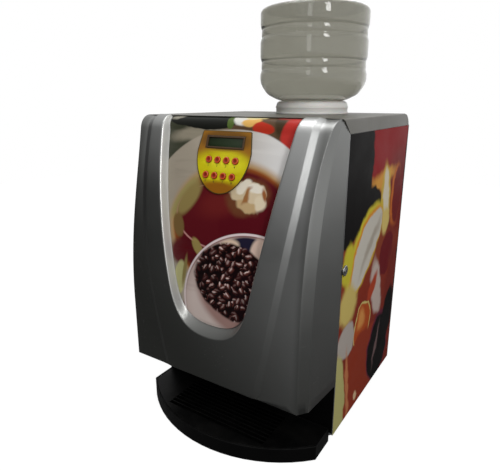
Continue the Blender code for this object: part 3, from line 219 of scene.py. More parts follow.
def startMaterial(name, color, roughness, metallic=0.0, **plain):
    material = bpy.data.materials.new(name)
    material.use_nodes = True
    tree = material.node_tree
    shader = tree.nodes["Principled BSDF"]
    shader.inputs["Base Color"].default_value = color
    shader.inputs["Roughness"].default_value = roughness
    shader.inputs["Metallic"].default_value = metallic
    for socket, value in plain.items():
        shader.inputs[socket.replace("_", " ")].default_value = value
    place = tree.nodes.new("ShaderNodeTexCoord").outputs["Object"]
    return material, tree, shader, place


def bumped(tree, shader, height, strength, distance):
    bump = addNode(tree, "Bump", Strength=strength, Distance=distance, Height=height)
    put(tree, bump.outputs["Normal"], shader.inputs["Normal"])


dustColor = (0.42, 0.40, 0.37, 1)


def finishShade(tree, shader, place, shade, size, bump, depth, gloss=None):
    # The colour, a fine grain, and an uneven roughness given by its lowest value and its swing.
    put(tree, shade, shader.inputs["Base Color"])
    grains = useGroup(tree, surfaceGrain, Place=place, Size=size)
    if gloss:
        lowest, swing = gloss
        put(tree, mathNode(tree, "MULTIPLY_ADD", grains["Patch"], swing, lowest), shader.inputs["Roughness"])
    bumped(tree, shader, grains["Height"], bump, depth * mm)


def surface(name, color, roughness, metallic=0.0, grain=900.0, bump=0.15, mottle=0.08, dust=0.0, **plain):
    # One solid finish with its grain, its uneven gloss and some dust.
    material, tree, shader, place = startMaterial(name, color, roughness, metallic, **plain)
    grains = useGroup(tree, surfaceGrain, Place=place, Size=grain)
    darker = [c * (1 - mottle) for c in color[:3]] + [1]
    lighter = [min(c * (1 + mottle), 1) for c in color[:3]] + [1]
    shade = mixColor(tree, grains["Patch"], darker, lighter)
    rough = mathNode(tree, "MULTIPLY_ADD", grains["Patch"], roughness * 0.2, roughness * 0.9)
    if dust:
        settled = useGroup(tree, settledDust, Place=place, Amount=dust)["Mask"]
        shade = mixColor(tree, settled, shade, dustColor)
        rough = mathNode(tree, "MULTIPLY_ADD", settled, 0.5, rough, clamp=True)
    put(tree, shade, shader.inputs["Base Color"])
    put(tree, rough, shader.inputs["Roughness"])
    if bump:
        bumped(tree, shader, grains["Height"], bump, 0.0004)
    return material


# making and finishing pieces
def addObject(name, data):
    obj = bpy.data.objects.new(name, data)
    bpy.context.scene.collection.objects.link(obj)
    return obj


def meshFrom(bm, name, materials):
    mesh = bpy.data.meshes.new(name)
    bm.to_mesh(mesh)
    bm.free()
    for made in materials:
        mesh.materials.append(made)
    return mesh


def finishPiece(name, bm, materials, body, slot, *replaced, smooth=35.0):
    mesh = meshFrom(bm, name, materials)
    obj = addObject(name, mesh)
    mesh.shade_smooth()
    mesh.set_sharp_from_angle(angle=math.radians(smooth))
    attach(obj, body)
    if replaced:
        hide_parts(*replaced)
    return obj


def thicken(obj, thickness):  # behind the drawn side
    wall = obj.modifiers.new("wall", "SOLIDIFY")
    wall.thickness = thickness
    wall.offset = -1


def rowEdges(bm, row):
    return [e for e in (bm.edges.get((a, b)) for a, b in zip(row, row[1:])) if e]


def newestVert(vert, fresh):
    return next(e.other_vert(vert) for e in vert.link_edges if e.other_vert(vert) in fresh)


def growRows(bm, row, lines):  # each line is an extrusion of the row before it
    rows = [row]
    for line in lines:
        grown = bmesh.ops.extrude_edge_only(bm, edges=rowEdges(bm, row))["geom"]
        fresh = {g for g in grown if isinstance(g, bmesh.types.BMVert)}
        row = [newestVert(vert, fresh) for vert in row]
        for vert, spot in zip(row, line):
            vert.co = spot
        rows.append(row)
    return rows


def loft(bm, lines):  # the first line is drawn vertex by vertex, and the others are grown from it
    row = [bm.verts.new(lines[0][0])]
    for spot in lines[0][1:]:
        grown = bmesh.ops.extrude_vert_indiv(bm, verts=[row[-1]])
        grown["verts"][0].co = spot
        row.append(grown["verts"][0])
    return growRows(bm, row, lines[1:])


def roundOff(bm, parts, width, segments, affect="EDGES"):
    parts = [part for part in parts if part.is_valid]
    if parts:
        bmesh.ops.bevel(bm, geom=parts, offset=width, segments=segments, profile=0.5, affect=affect,
                        material=-1, clamp_overlap=affect == "EDGES")


def cutAcross(bm, spot, way, **kept):
    return bmesh.ops.bisect_plane(bm, geom=bm.verts[:] + bm.edges[:] + bm.faces[:], dist=0.000001,
                                  plane_co=spot, plane_no=way, **kept)


# the door's curve
door = {
    "straight": 122 * mm,  # upright above its bottom edge
    "radius": 941 * mm,
    "roll": 33 * mm,
    "faceInset": 20.5 * mm,
    "flare": 20 * mm,
    "flareStart": 256 * mm,
    "crownTuck": 0.10,  # share of the flare that the top's rounded corner takes back
    "chamfer": (13 * mm, 17.4 * mm),
    "plateau": (99 * mm, 0.235, 0.19),  # half width at the bottom, and how it widens
    "plateauProud": 2.5 * mm,
    "creaseHalf": 5.5 * mm,
    "creaseSink": 1.2 * mm,
    "bottomDrop": 2 * mm,
    "mostShare": (0.970, 0.986),  # where the raised middle rounds off above the bottom edge
    "recess": 15 * mm,
    "recessRise": 11.5 * mm,  # how much of that depth runs out as the front rolls over its top
    "recessBottom": 87 * mm,
    "recessBend": (86 * mm, 176 * mm),
    "recessRound": 56 * mm,
    "recessSlope": 0.215,
    "recessTopHalf": 139 * mm,
    "sideDraft": 5 * mm,
    "bottomDraft": 17 * mm,
    "lip": 9 * mm,
    "wall": 2.5 * mm,
    "mitreRun": 28 * mm,
    "cornerSteps": 22,
    "footSteps": 14,
    "climbStep": 7 * mm,
    "rollSteps": 12,
    "wallSteps": 3,
    "faceSteps": 5,
    "chamferSteps": 3,
    "flankSteps": 5,
    "chamferMost": 0.75,  # share of the flank's depth that the chamfer may take
    "rounding": {  # width and segments, in the order that they are made
        "rim": (4.8 * mm, 7),
        "floor": (1.2 * mm, 2),
        "corner": (1.0 * mm, 3),
        "flank": (5.0 * mm, 5),
        "crease": (2.2 * mm, 3),
    },
    "notch": (1 * mm, 5 * mm),  # clear of the hinge pin's ends, and in front of its axis
}
arcStartZ = doorLowZ + door["straight"]
rollZ = topZ - door["roll"]
fullLean = math.asin((rollZ - arcStartZ) / (door["radius"] - door["roll"]))
rollY = door["radius"] - (door["radius"] - door["roll"]) * math.cos(fullLean)
rollS = door["straight"] + door["radius"] * fullLean
crownS = rollS + door["roll"] * (math.pi / 2 - fullLean)
endS = crownS + (doorRearY - doorY - rollY) * 0.8
faceHalf = half - door["faceInset"]


def front(s, depth=0.0):  # y and z at a distance up the door's face, and at a depth behind it
    if s <= door["straight"]:
        return doorY + depth, doorLowZ + s
    if s <= rollS:
        lean = (s - door["straight"]) / door["radius"]
        radius = door["radius"] - depth
        return doorY + door["radius"] - radius * math.cos(lean), arcStartZ + radius * math.sin(lean)
    if s <= crownS:
        lean = fullLean + (s - rollS) / door["roll"]
        radius = door["roll"] - depth
        return doorY + rollY - radius * math.cos(lean), rollZ + radius * math.sin(lean)
    return doorY + rollY + s - crownS, topZ - depth


def leanAt(s):
    return min(max(s - door["straight"], 0) / door["radius"], fullLean)


def shareUp(s, start):  # how far up from start to the crown
    return min(max(s - start, 0) / (crownS - start), 1)


def riseAt(s):
    share = shareUp(s, rollS)
    return door["recessRise"] * share ** 2 * (3 - 2 * share)


def flareAt(s):
    return shareUp(s, door["flareStart"]) ** 3 - door["crownTuck"] * shareUp(s, rollS) ** 2


def plateauHalf(s):
    start, widen, curve = door["plateau"]
    return start + widen * s - curve * s * s


def climbLevels(start):
    count = max(int((rollS - start) / door["climbStep"]), 1)
    levels = [start + (rollS - start) * i / count for i in range(1, count + 1)]
    steps = door["rollSteps"]
    levels += [rollS + (crownS - rollS) * i / steps for i in range(1, steps + 1)]
    return levels + [endS]


def recessHalf(side, bottom):  # right half of the U, moved in by side and up by bottom
    low = Vector((0, door["recessBottom"] + bottom, 0))
    bendX, bendS = door["recessBend"]
    turn = Vector((bendX - side, bendS, 0))
    reach = door["recessRound"]
    handle = turn - Vector((door["recessSlope"] * reach, reach - bottom / 2, 0))
    corner = interpolate_bezier(low, low + Vector((reach, 0, 0)), handle, turn, door["cornerSteps"] + 1)
    rise = crownS - bendS
    ease = (bendX + door["recessSlope"] * rise - door["recessTopHalf"]) / rise ** 2
    line = [(p.x, p.y) for p in corner]
    for s in climbLevels(bendS):
        up = s - bendS
        line.append((turn.x + door["recessSlope"] * up - ease * up * up, s))
    return line


def borderLine():  # the face's outer edge, station by station with the U
    steps = door["footSteps"]
    line = []
    for i in range(steps + 1):
        x = faceHalf * i / steps
        inside = (door["plateau"][0] + door["creaseHalf"] - x) / (2 * door["creaseHalf"])
        line.append((x, -door["bottomDrop"] * min(max(inside, 0), 1)))
    rest = door["cornerSteps"] - steps
    line += [(faceHalf, door["recessBend"][1] * (i + 1) / rest) for i in range(rest)]
    return line + [(faceHalf + door["flare"] * flareAt(s), s) for s in climbLevels(door["recessBend"][1])]


def between(inner, outer, share):
    return [tuple(a + (b - a) * t for a, b in zip(p, q)) for p, q, t in zip(inner, outer, share)]


def shareWhere(inner, outer, offset, most):  # where each line from rim to border leaves the raised middle
    shares = []
    for p, q in zip(inner, outer):
        low, high = 0.0, 1.0
        for _ in range(24):
            middle = (low + high) / 2
            x, s = (a + (b - a) * middle for a, b in zip(p, q))
            low, high = (middle, high) if x < plateauHalf(s) + offset else (low, middle)
        shares.append(min(low, most))
    return shares


def makeDoor():
    rim = recessHalf(0, 0)
    floor = recessHalf(door["sideDraft"], door["bottomDraft"])
    lip = recessHalf(door["sideDraft"] + door["lip"], door["bottomDraft"] + door["lip"])
    border = borderLine()
    inner = shareWhere(rim, border, -door["creaseHalf"], door["mostShare"][0])
    outer = shareWhere(rim, border, door["creaseHalf"], door["mostShare"][1])
    steps, wallSteps = door["faceSteps"], door["wallSteps"]
    recess, proud = door["recess"], -door["plateauProud"]
    lines = [[(x, *front(s, recess - riseAt(s))) for x, s in line] for line in (lip, floor)]
    for k in range(1, wallSteps):
        share = k / wallSteps
        lines.append([(x, *front(s, (recess - riseAt(s)) * (1 - share) + proud * share))
                      for x, s in between(floor, rim, [share] * len(rim))])
    named = {"floor": 1, "rim": 1 + wallSteps}
    for k in range(steps + 1):
        flat = between(rim, border, [t * k / steps for t in inner])
        lines.append([(x, *front(s, proud)) for x, s in flat])
    named["edge"] = len(lines) - 1
    lines.append([(x, *front(s, door["creaseSink"] if t < door["mostShare"][1] else proud * 0.6))
                  for (x, s), t in zip(between(rim, border, outer), outer)])
    named["foot"] = len(lines) - 1
    for k in range(1, steps + 1):
        flat = between(rim, border, [t + (1 - t) * k / steps for t in outer])
        lines.append([(x, *front(s, door["creaseSink"] * (1 - k / steps))) for x, s in flat])
    named["border"] = len(lines) - 1
    bm = bmesh.new()
    rows = loft(bm, lines)
    cornerStation = door["footSteps"]
    chamferWide, chamferDeep = door["chamfer"]
    flank = []
    for x, s in border[cornerStation:]:
        y, z = front(s)
        flare = flareAt(s)
        deep = min(chamferDeep, (doorRearY - y) * door["chamferMost"])
        wide = chamferWide * (1 - flare) + flare * mm / 2
        flank.append((Vector((x, y, z)), Vector((x + wide, y + deep, z)), Vector((half, doorRearY, z))))
    near, far = door["chamferSteps"], door["flankSteps"]
    sideLines = [[a.lerp(b, (k + 1) / near) for a, b, _ in flank] for k in range(near)]
    sideLines += [[b.lerp(c, (k + 1) / far) for _, b, c in flank] for k in range(far)]
    sideRows = growRows(bm, rows[-1][cornerStation:], sideLines)
    wallVerts = {v for row in rows[named["floor"]:named["rim"] + 1] for v in row}
    for face in bm.faces:
        if wallVerts.issuperset(face.verts):
            face.material_index = 1
    sharp = {
        "rim": rowEdges(bm, rows[named["rim"]]),
        "floor": rowEdges(bm, rows[named["floor"]]),
        "corner": rowEdges(bm, sideRows[0]),
        "flank": rowEdges(bm, sideRows[door["chamferSteps"]]),
        "crease": rowEdges(bm, rows[named["edge"]]) + rowEdges(bm, rows[named["foot"]]),
    }
    for line, (width, segments) in door["rounding"].items():
        roundOff(bm, sharp[line], width, segments)
    bmesh.ops.mirror(bm, geom=bm.verts[:] + bm.edges[:] + bm.faces[:], axis="X", merge_dist=0.00001)
    bmesh.ops.remove_doubles(bm, verts=bm.verts, dist=0.00002)
    # The slanted seam with the top cover.
    cutAcross(bm, *mitrePlane(), clear_outer=True)
    # The notch that the hinge's knuckles turn in.
    pinLow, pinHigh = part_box("hinge_pin")
    clear, ahead = door["notch"]
    notchY = (pinLow.y + pinHigh.y) / 2 - ahead
    lowZ, highZ = pinLow.z - clear, pinHigh.z + clear
    for spot, way in (((0, notchY, 0), (0, 1, 0)), ((0, 0, lowZ), (0, 0, 1)), ((0, 0, highZ), (0, 0, 1))):
        cutAcross(bm, spot, way)
    middles = {f: f.calc_center_median() for f in bm.faces}
    notched = [f for f, middle in middles.items()
               if middle.x < ahead - half and middle.y > notchY and lowZ < middle.z < highZ]
    bmesh.ops.delete(bm, geom=notched, context="FACES")
    bmesh.ops.recalc_face_normals(bm, faces=bm.faces)
    probe = min(bm.faces, key=lambda f: (f.calc_center_median() - Vector((0.15, doorY, 0.2))).length)
    if probe.normal.y > 0:
        bmesh.ops.reverse_faces(bm, faces=bm.faces)
    obj = finishPiece("door_moulding", bm, (doorSilver, recessSilver), "door", "door", "door_shell",
                      smooth=28)
    thicken(obj, door["wall"])


# finishes
# the door's silver carries painted light and shade: its tones run from dark, low and to the left, to light,
# high and to the right, and its flanks get a darker painted shade
silver = {
    "paintedLightFrom": (0.06, 0.66),  # height and distance to the right, added up, in metres
    "paintedLightTones": [(0.0, rgb(76, 77, 74)), (0.4, rgb(116, 117, 115)), (1.0, rgb(172, 173, 172))],
    "flankShadeFrom": (0.166, 0.184),
    "flankShadeShare": 0.62,
    # the flanks' darker colour is painted shade
    "flank": rgb(80, 81, 78),
    "scuffs": 0.10,
    "scuffed": rgb(190, 190, 188),
    # the recess wall's painted highlight, fading to painted shade towards its foot
    "wallPaintedLightFrom": (0.20, 0.33),
    "wallPaintedLight": [(0.0, rgb(84, 85, 83)), (0.5, rgb(160, 160, 157)), (1.0, rgb(206, 206, 202))],
    "gloss": (0.31, 0.06),
}


def makeDoorSilver():  # satin silver paint, with painted shade towards the foot, the hinge side and the flanks, and painted light towards the upper right
    material, tree, shader, place = startMaterial("door_silver", (0.2, 0.2, 0.2, 1), 0.34, 0.85)
    parts = partsOf(tree, place)
    # painted light: the higher and further right a point is, the lighter it is
    climb = mathNode(tree, "ADD", parts["X"], parts["Z"])
    shade = ramp(tree, spread(tree, climb, *silver["paintedLightFrom"]), silver["paintedLightTones"])
    aside = mathNode(tree, "ABSOLUTE", parts["X"])
    flank = spread(tree, aside, *silver["flankShadeFrom"], 0.0, silver["flankShadeShare"])
    shade = mixColor(tree, flank, shade, silver["flank"])
    marks = useGroup(tree, hairlineScuffs, Place=place, Amount=silver["scuffs"])["Mask"]
    shade = mixColor(tree, marks, shade, silver["scuffed"])
    finishShade(tree, shader, place, shade, 1500.0, 0.10, 0.4, silver["gloss"])
    return material


def makeRecessSilver():  # the slope round the artwork, with a painted highlight towards its top and painted shade towards its foot
    material, tree, shader, place = startMaterial("recess_silver", (0.5, 0.5, 0.5, 1), 0.34, 0.5)
    shade = ramp(tree, spread(tree, partsOf(tree, place)["Z"], *silver["wallPaintedLightFrom"]), silver["wallPaintedLight"])
    finishShade(tree, shader, place, shade, 1500.0, 0.08, 0.4, silver["gloss"])
    return material


doorSilver = makeDoorSilver()
recessSilver = makeRecessSilver()
coverGrey = surface("cover_grey", rgb(94, 92, 85), 0.42, 0.25, grain=1300, bump=0.12, mottle=0.03, dust=0.12)
trayBlack = surface("tray_black", rgb(6, 6, 6), 0.40, grain=1100, bump=0.12, mottle=0.10, dust=0.01,
                    Specular_IOR_Level=0.08)
sheetWhite = surface("sheet_white", rgb(196, 194, 188), 0.5, grain=1200, bump=0.06, mottle=0.03)
zincPlate = surface("zinc_plate", rgb(150, 152, 155), 0.38, 0.85, grain=60, bump=0.03, mottle=0.12)
steelBrushed = surface("steel_brushed", rgb(170, 170, 172), 0.28, 1.0, grain=500, bump=0.05, mottle=0.05)
lockChrome = surface("lock_chrome", rgb(150, 150, 150), 0.22, 1.0, grain=700, bump=0.02, mottle=0.04)
whiteMoulded = surface("white_moulded", rgb(222, 221, 214), 0.42, grain=1200, bump=0.08, mottle=0.02)
bowlMilky = surface("bowl_milky", rgb(214, 214, 206), 0.30, grain=1000, bump=0.04, mottle=0.02,
                    Subsurface_Weight=0.15)
rubberBlack = surface("rubber_black", rgb(34, 34, 35), 0.82, grain=700, bump=0.3, mottle=0.15)
hoseSilicone = surface("hose_silicone", rgb(214, 208, 192), 0.35, grain=500, bump=0.03, mottle=0.03,
                       Subsurface_Weight=0.2)
brassCoil = surface("brass_and_coil", rgb(176, 148, 92), 0.34, 0.9, grain=600, bump=0.05, mottle=0.08)
boardGreen = surface("board_green", rgb(30, 84, 48), 0.42, grain=300, bump=0.06, mottle=0.18)
displayFrame = surface("display_frame", rgb(66, 44, 18), 0.55, grain=1100, bump=0.05, mottle=0.05)
outlineOlive = surface("outline_olive", rgb(70, 58, 14), 0.40, grain=1500, bump=0.04, mottle=0.05)
inkDark = surface("ink_dark", rgb(40, 24, 12), 0.45, grain=1500, bump=0.0, mottle=0.05)

# places on the recessed panels; distances up the front run from the door's bottom edge
panels = {
    "artworkThick": 1.7 * mm,
    "artworkClear": 0.6 * mm,
    "gap": 0.3 * mm,
    "thick": 1.5 * mm,
    "topHalf": 49.5 * mm,
    "top": 453.5 * mm,
    "half": 55.5 * mm,
    "shoulder": 416.5 * mm,
    "bottom": 344 * mm,
    "outline": 1.4 * mm,
    "display": (78 * mm, 22 * mm, 432.6 * mm),
    "displayFrame": (4.2 * mm, 4 * mm, 1 * mm),  # width, thickness, and how proud it is
    "cells": (58 * mm, 16, 5.6 * mm),  # width of all, how many across, and height of a row
    "buttonRadius": 6 * mm,
    "pitch": 18.2 * mm,
    "rows": ((402 * mm, -0.5 * mm), (375 * mm, -2.5 * mm)),
    "clear": 0.5 * mm,
    "bendStep": 8 * mm,
    "rollSteps": 10,
    "holeSides": 32,
    "archSteps": 28,
    "cornerRound": 2.5 * mm,
    "windowInset": 1 * mm,
    "window": (8 * mm, 1.6 * mm),  # thickness, and how far it is sunk
    "ground": rgb(156, 106, 34),
    "inks": [
        ((214, 202, 22), (-2, 388), (62, 30), 0, 0.35),
        ((230, 222, 44), (10, 398), (36, 16), 0, 0.5),
        ((120, 82, 34), (0, 436), (52, 17), 0, 0.25),
        ((154, 98, 22), (0, 352), (40, 14), 0, 0.4),
    ],
}
artworkDepth = door["recess"] - panels["gap"] - panels["artworkThick"]
panelDepth = artworkDepth - panels["gap"] - panels["thick"]
buttonSpots = [((i - 1.5) * panels["pitch"] + shift, s) for s, shift in panels["rows"] for i in range(4)]


def mitrePlane():
    run = Vector((0, -door["mitreRun"], topZ - sideZ))
    normal = run.cross(Vector((1, 0, 0))).normalized()
    return (0, doorRearY, sideZ), -normal if normal.y < 0 else normal


def ringOf(bm, spots):  # a closed line of edges in the flat pattern
    verts = [bm.verts.new((x, 0, s)) for x, s in spots]
    return [bm.edges.new((a, b)) for a, b in zip(verts, verts[1:] + verts[:1])]


def fillRing(bm, spots):
    ringOf(bm, spots)
    bmesh.ops.contextual_create(bm, geom=bm.edges[:])


def insetFace(bm, border):  # gives the face inside the new border
    bmesh.ops.inset_region(bm, faces=bm.faces[:], thickness=border, use_even_offset=True, use_boundary=True)
    return max(bm.faces, key=lambda f: f.calc_area())


def boxSpots(middleX, middleS, wide, high):
    return [(middleX + a * wide / 2, middleS + b * high / 2) for a, b in ((-1, -1), (1, -1), (1, 1), (-1, 1))]


def circleSpots(x, s, radius):
    turns = [2 * math.pi * i / panels["holeSides"] for i in range(panels["holeSides"])]
    return [(x + radius * math.cos(turn), s + radius * math.sin(turn)) for turn in turns]


def bendSheet(bm, thick, depth, edge=0.35 * mm, mitred=False):
    # A flat pattern gets its thickness, its soft edges and its printed coordinates, and is bent to the front.
    sheet = bm.faces[:]
    bmesh.ops.recalc_face_normals(bm, faces=sheet)
    if sheet[0].normal.y > 0:
        bmesh.ops.reverse_faces(bm, faces=sheet)
    low = min(v.co.z for v in bm.verts)
    high = max(v.co.z for v in bm.verts)
    step, rollSteps = panels["bendStep"], panels["rollSteps"]
    levels = [low + step * i for i in range(1, int((min(high, rollS) - low) / step) + 1)]
    rolled = [rollS + (crownS - rollS) * i / rollSteps for i in range(rollSteps + 1)]
    for level in levels + [level for level in rolled if level < high]:
        cutAcross(bm, (0, 0, level), (0, 0, 1))
    grown = bmesh.ops.extrude_face_region(bm, geom=bm.faces[:], use_keep_orig=True)["geom"]
    backVerts = [g for g in grown if isinstance(g, bmesh.types.BMVert)]
    bmesh.ops.translate(bm, verts=backVerts, vec=(0, thick, 0))
    bmesh.ops.recalc_face_normals(bm, faces=bm.faces)
    sharp = [e for e in bm.edges if len(e.link_faces) == 2 and e.calc_face_angle() > 1
             and all(v.co.y < thick / 2 for v in e.verts)]
    roundOff(bm, sharp, edge, 2)
    flat = bm.loops.layers.uv.new("print")
    for face in bm.faces:
        for loop in face.loops:
            loop[flat].uv = (loop.vert.co.x, loop.vert.co.z)
    for vert in bm.verts:
        vert.co = (vert.co.x, *front(vert.co.z, depth + vert.co.y - riseAt(vert.co.z)))
    if mitred:
        cut = cutAcross(bm, *mitrePlane(), clear_outer=True)["geom_cut"]
        bmesh.ops.holes_fill(bm, edges=[e for e in cut if isinstance(e, bmesh.types.BMEdge)], sides=0)


def printPlace(tree):  # the flat pattern, in metres across and up
    return tree.nodes.new("ShaderNodeUVMap").outputs["UV"]


def spotMask(tree, place, centre, radii, turn, edge):  # in mm and degrees
    return useGroup(tree, printedSpot, Place=place, Centre=(centre[0] * mm, centre[1] * mm, 0),
                    Radii=(radii[0] * mm, radii[1] * mm, 1), Turn=math.radians(-turn), Edge=edge)["Mask"]


def paintLayers(tree, place, shade, layers):
    # Soft ellipses one over another. Each has its colour, centre, radii, turn and softness.
    for color, *spot in layers:
        shade = mixColor(tree, spotMask(tree, place, *spot), shade, rgb(*color))
    return shade


def wavy(tree, place, size, amount):  # the same place, pushed about a little, for drawn-by-hand outlines
    shift = noise(tree, place, size, kind="Color")
    centred = vectorNode(tree, "SUBTRACT", shift, (0.5, 0.5, 0.5))
    return vectorNode(tree, "MULTIPLY_ADD", centred, (amount, amount, 0), place)


artwork = {
    "ground": [(0.0, rgb(98, 22, 32)), (0.45, rgb(118, 40, 34)), (0.75, rgb(128, 74, 46)),
               (1.0, rgb(92, 70, 50))],
    "groundFrom": (0.19, 0.46),
    "china": [(0.0, rgb(164, 154, 138)), (0.5, rgb(186, 174, 158)), (1.0, rgb(222, 220, 218))],
    "chinaFrom": (-0.10, 0.12),
    "rim": ((19, 288), (179, 171), 0, 0.010),
    "heap": ((44, 195), (82, 68), -8, 0.04),
    "table": [
        ((62, 64, 50), (-104, 440), (64, 58), 10, 0.35),
        ((150, 142, 124), (-62, 450), (58, 14), 12, 0.40),
        ((24, 25, 21), (-66, 485), (84, 28), -6, 0.05),
        ((150, 146, 132), (-112, 486), (16, 6), 20, 0.40),
        ((70, 72, 64), (-40, 492), (40, 5), 0, 0.50),
        ((84, 104, 48), (3, 474), (7, 16), 6, 0.10),
        ((226, 224, 216), (26, 484), (20, 18), 0, 0.15),
        ((226, 178, 98), (44, 474), (18, 8), 10, 0.20),
        ((234, 220, 164), (52, 488), (22, 8), 8, 0.15),
        ((186, 52, 34), (68, 462), (20, 12), -8, 0.15),
        ((66, 52, 34), (97, 474), (9, 30), 8, 0.35),
        ((186, 52, 46), (119, 458), (15, 34), -4, 0.20),
        ((170, 60, 58), (112, 492), (22, 8), 0, 0.40),
    ],
    "coffee": [
        ((184, 146, 96), (34, 286), (134, 117), 0, 0.07),
        ((142, 74, 34), (36, 285), (127, 109), 0, 0.03),
        ((92, 18, 28), (40, 283), (120, 104), 0, 0.04),
        ((160, 148, 94), (-72, 332), (13, 46), -34, 0.30),
        ((206, 146, 140), (-4, 304), (83, 56), 0, 0.02),
        ((96, 22, 30), (-3, 305), (81.4, 54.4), 0, 0.02),
        ((92, 18, 28), (62, 300), (54, 62), 0, 0.10),
        ((112, 34, 34), (6, 330), (44, 22), 20, 0.60),
        ((150, 132, 80), (-62, 330), (15, 38), -36, 0.30),
        ((124, 98, 58), (-80, 280), (12, 22), 14, 0.20),
        ((166, 146, 86), (-34, 246), (9, 19), 36, 0.20),
        ((96, 20, 28), (-72, 232), (22, 24), 0, 0.30),
        ((200, 196, 138), (-73, 182), (13, 34), -8, 0.12),
        ((150, 134, 80), (-62, 196), (4, 30), -8, 0.40),
    ],
    "cream": [
        ((112, 66, 42), (60, 345), (42, 31), 20, 0.20),
        ((216, 196, 160), (44, 352), (20, 18), 30, 0.12),
        ((240, 230, 210), (50, 362), (18, 9), 25, 0.20),
        ((226, 206, 172), (74, 350), (18, 20), -20, 0.12),
        ((244, 236, 220), (72, 360), (13, 8), 10, 0.25),
        ((206, 176, 130), (60, 330), (22, 11), -10, 0.20),
        ((236, 220, 190), (84, 336), (12, 13), 0, 0.25),
        ((164, 112, 66), (58, 346), (4, 15), -30, 0.50),
        ((156, 96, 54), (88, 352), (4, 12), 20, 0.50),
    ],
    "bowl": [
        ((240, 224, 224), (82, 150), (145, 137), 0, 0.006),
        ((122, 62, 60), (82, 150), (141, 133), 0, 0.006),
        ((206, 182, 174), (81, 150), (139, 131), 0, 0.015),
        ((228, 210, 202), (40, 132), (100, 84), -24, 0.20),
        ((176, 140, 132), (72, 186), (106, 88), 0, 0.10),
        ((36, 32, 54), (70, 268), (34, 12), 4, 0.20),
        ((234, 208, 184), (30, 256), (24, 13), 24, 0.20),
        ((196, 150, 124), (24, 250), (12, 5), 24, 0.50),
        ((228, 200, 184), (90, 258), (15, 24), -12, 0.20),
    ],
}


def makeArtworkPrint():  # a cup seen from above, with cream in it, and below it a bowl of beans in a ring
    material, tree, shader, place = startMaterial("artwork_print", (0.4, 0.1, 0.08, 1), 0.30,
                                                  Specular_IOR_Level=0.10)
    flat = printPlace(tree)
    across = partsOf(tree, flat)
    loose = wavy(tree, flat, 28.0, 0.012)
    ground = ramp(tree, spread(tree, across["Y"], *artwork["groundFrom"]), artwork["ground"])
    shade = paintLayers(tree, loose, ground, artwork["table"])
    china = ramp(tree, spread(tree, across["X"], *artwork["chinaFrom"]), artwork["china"])
    shade = mixColor(tree, spotMask(tree, flat, *artwork["rim"]), shade, china)
    shade = paintLayers(tree, flat, shade, artwork["coffee"])
    shade = paintLayers(tree, wavy(tree, flat, 40.0, 0.018), shade, artwork["cream"])
    shade = paintLayers(tree, flat, shade, artwork["bowl"])
    shade = mixColor(tree, spotMask(tree, loose, *artwork["heap"]), shade, beanColors(tree, flat))
    finishShade(tree, shader, place, shade, 1600.0, 0.06, 0.3, (0.28, 0.1))
    return material


beans = {
    "half": (9.6 * mm, 5.8 * mm),
    "layers": ((0.0, 58.0), (0.37, 66.0), (0.81, 62.0)),  # a shift and a density for each layer of them
    "light": (-0.45, 0.55, 0),
    "bend": 8 * mm,
    "gap": rgb(20, 8, 9),
    "browns": (rgb(62, 24, 24), rgb(122, 66, 58)),
    "dark": rgb(16, 6, 8),
    "crease": rgb(20, 7, 7),
    "creased": 0.45,  # the share of them whose crease doesn't show
    "glint": rgb(250, 226, 220),
    "deep": rgb(42, 8, 18),  # towards the right, in patches
}


def beanColors(tree, flat):
    # Turned ellipses, one in each cell, rounded towards the light, with a crease and a glint.
    shade = beans["gap"]
    long, short = beans["half"]
    for shift, density in beans["layers"]:
        moved = wavy(tree, vectorNode(tree, "ADD", flat, (shift, shift, 0)), 90.0, beans["bend"])
        cells = addNode(tree, "TexVoronoi", {"voronoi_dimensions": "2D"}, Vector=moved, Scale=density,
                        Randomness=0.85)
        chance = partsOf(tree, cells.outputs["Color"])
        angle = mathNode(tree, "MULTIPLY", chance["X"], 2 * math.pi)
        local = turnFlat(tree, vectorNode(tree, "SUBTRACT", moved, cells.outputs["Position"]), angle)
        unit = vectorNode(tree, "DIVIDE", local, (long, short, 1))
        lit = vectorNode(tree, "MULTIPLY", turnFlat(tree, beans["light"], angle), (1, short / long, 1))
        away = vectorNode(tree, "DISTANCE", unit, lit)
        body = spread(tree, vectorNode(tree, "LENGTH", unit), 0.92, 1.04, 1.0, 0.0)
        brown = mixColor(tree, chance["Y"], *beans["browns"])
        bean = mixColor(tree, spread(tree, away, 0.3, 1.2), brown, beans["dark"])
        middle = mathNode(tree, "ABSOLUTE", partsOf(tree, unit)["Y"])
        crease = mathNode(tree, "MULTIPLY", spread(tree, middle, 0.06, 0.2, 1.0, 0.0),
                          mathNode(tree, "GREATER_THAN", chance["Z"], beans["creased"]))
        bean = mixColor(tree, crease, bean, beans["crease"])
        along = vectorNode(tree, "MULTIPLY", vectorNode(tree, "SUBTRACT", unit, lit), (0.5, 1, 1))
        glint = spread(tree, vectorNode(tree, "LENGTH", along), 0.10, 0.40, 1.0, 0.0)
        bean = mixColor(tree, mathNode(tree, "MULTIPLY", glint, chance["Y"]), bean, beans["glint"])
        shade = mixColor(tree, body, shade, bean)
    deep = spread(tree, partsOf(tree, flat)["X"], 0.02, 0.10, 0.0, 0.55)
    patch = spread(tree, noise(tree, flat, 26.0), 0.40, 0.62)
    return mixColor(tree, mathNode(tree, "MULTIPLY", deep, patch), shade, beans["deep"])


def makePanelPrint():
    material, tree, shader, place = startMaterial("panel_print", (0.6, 0.5, 0.03, 1), 0.36,
                                                  Specular_IOR_Level=0.15)
    flat = printPlace(tree)
    shade = paintLayers(tree, flat, panels["ground"], panels["inks"])
    finishShade(tree, shader, place, shade, 1800.0, 0.08, 0.3, (0.32, 0.08))
    return material


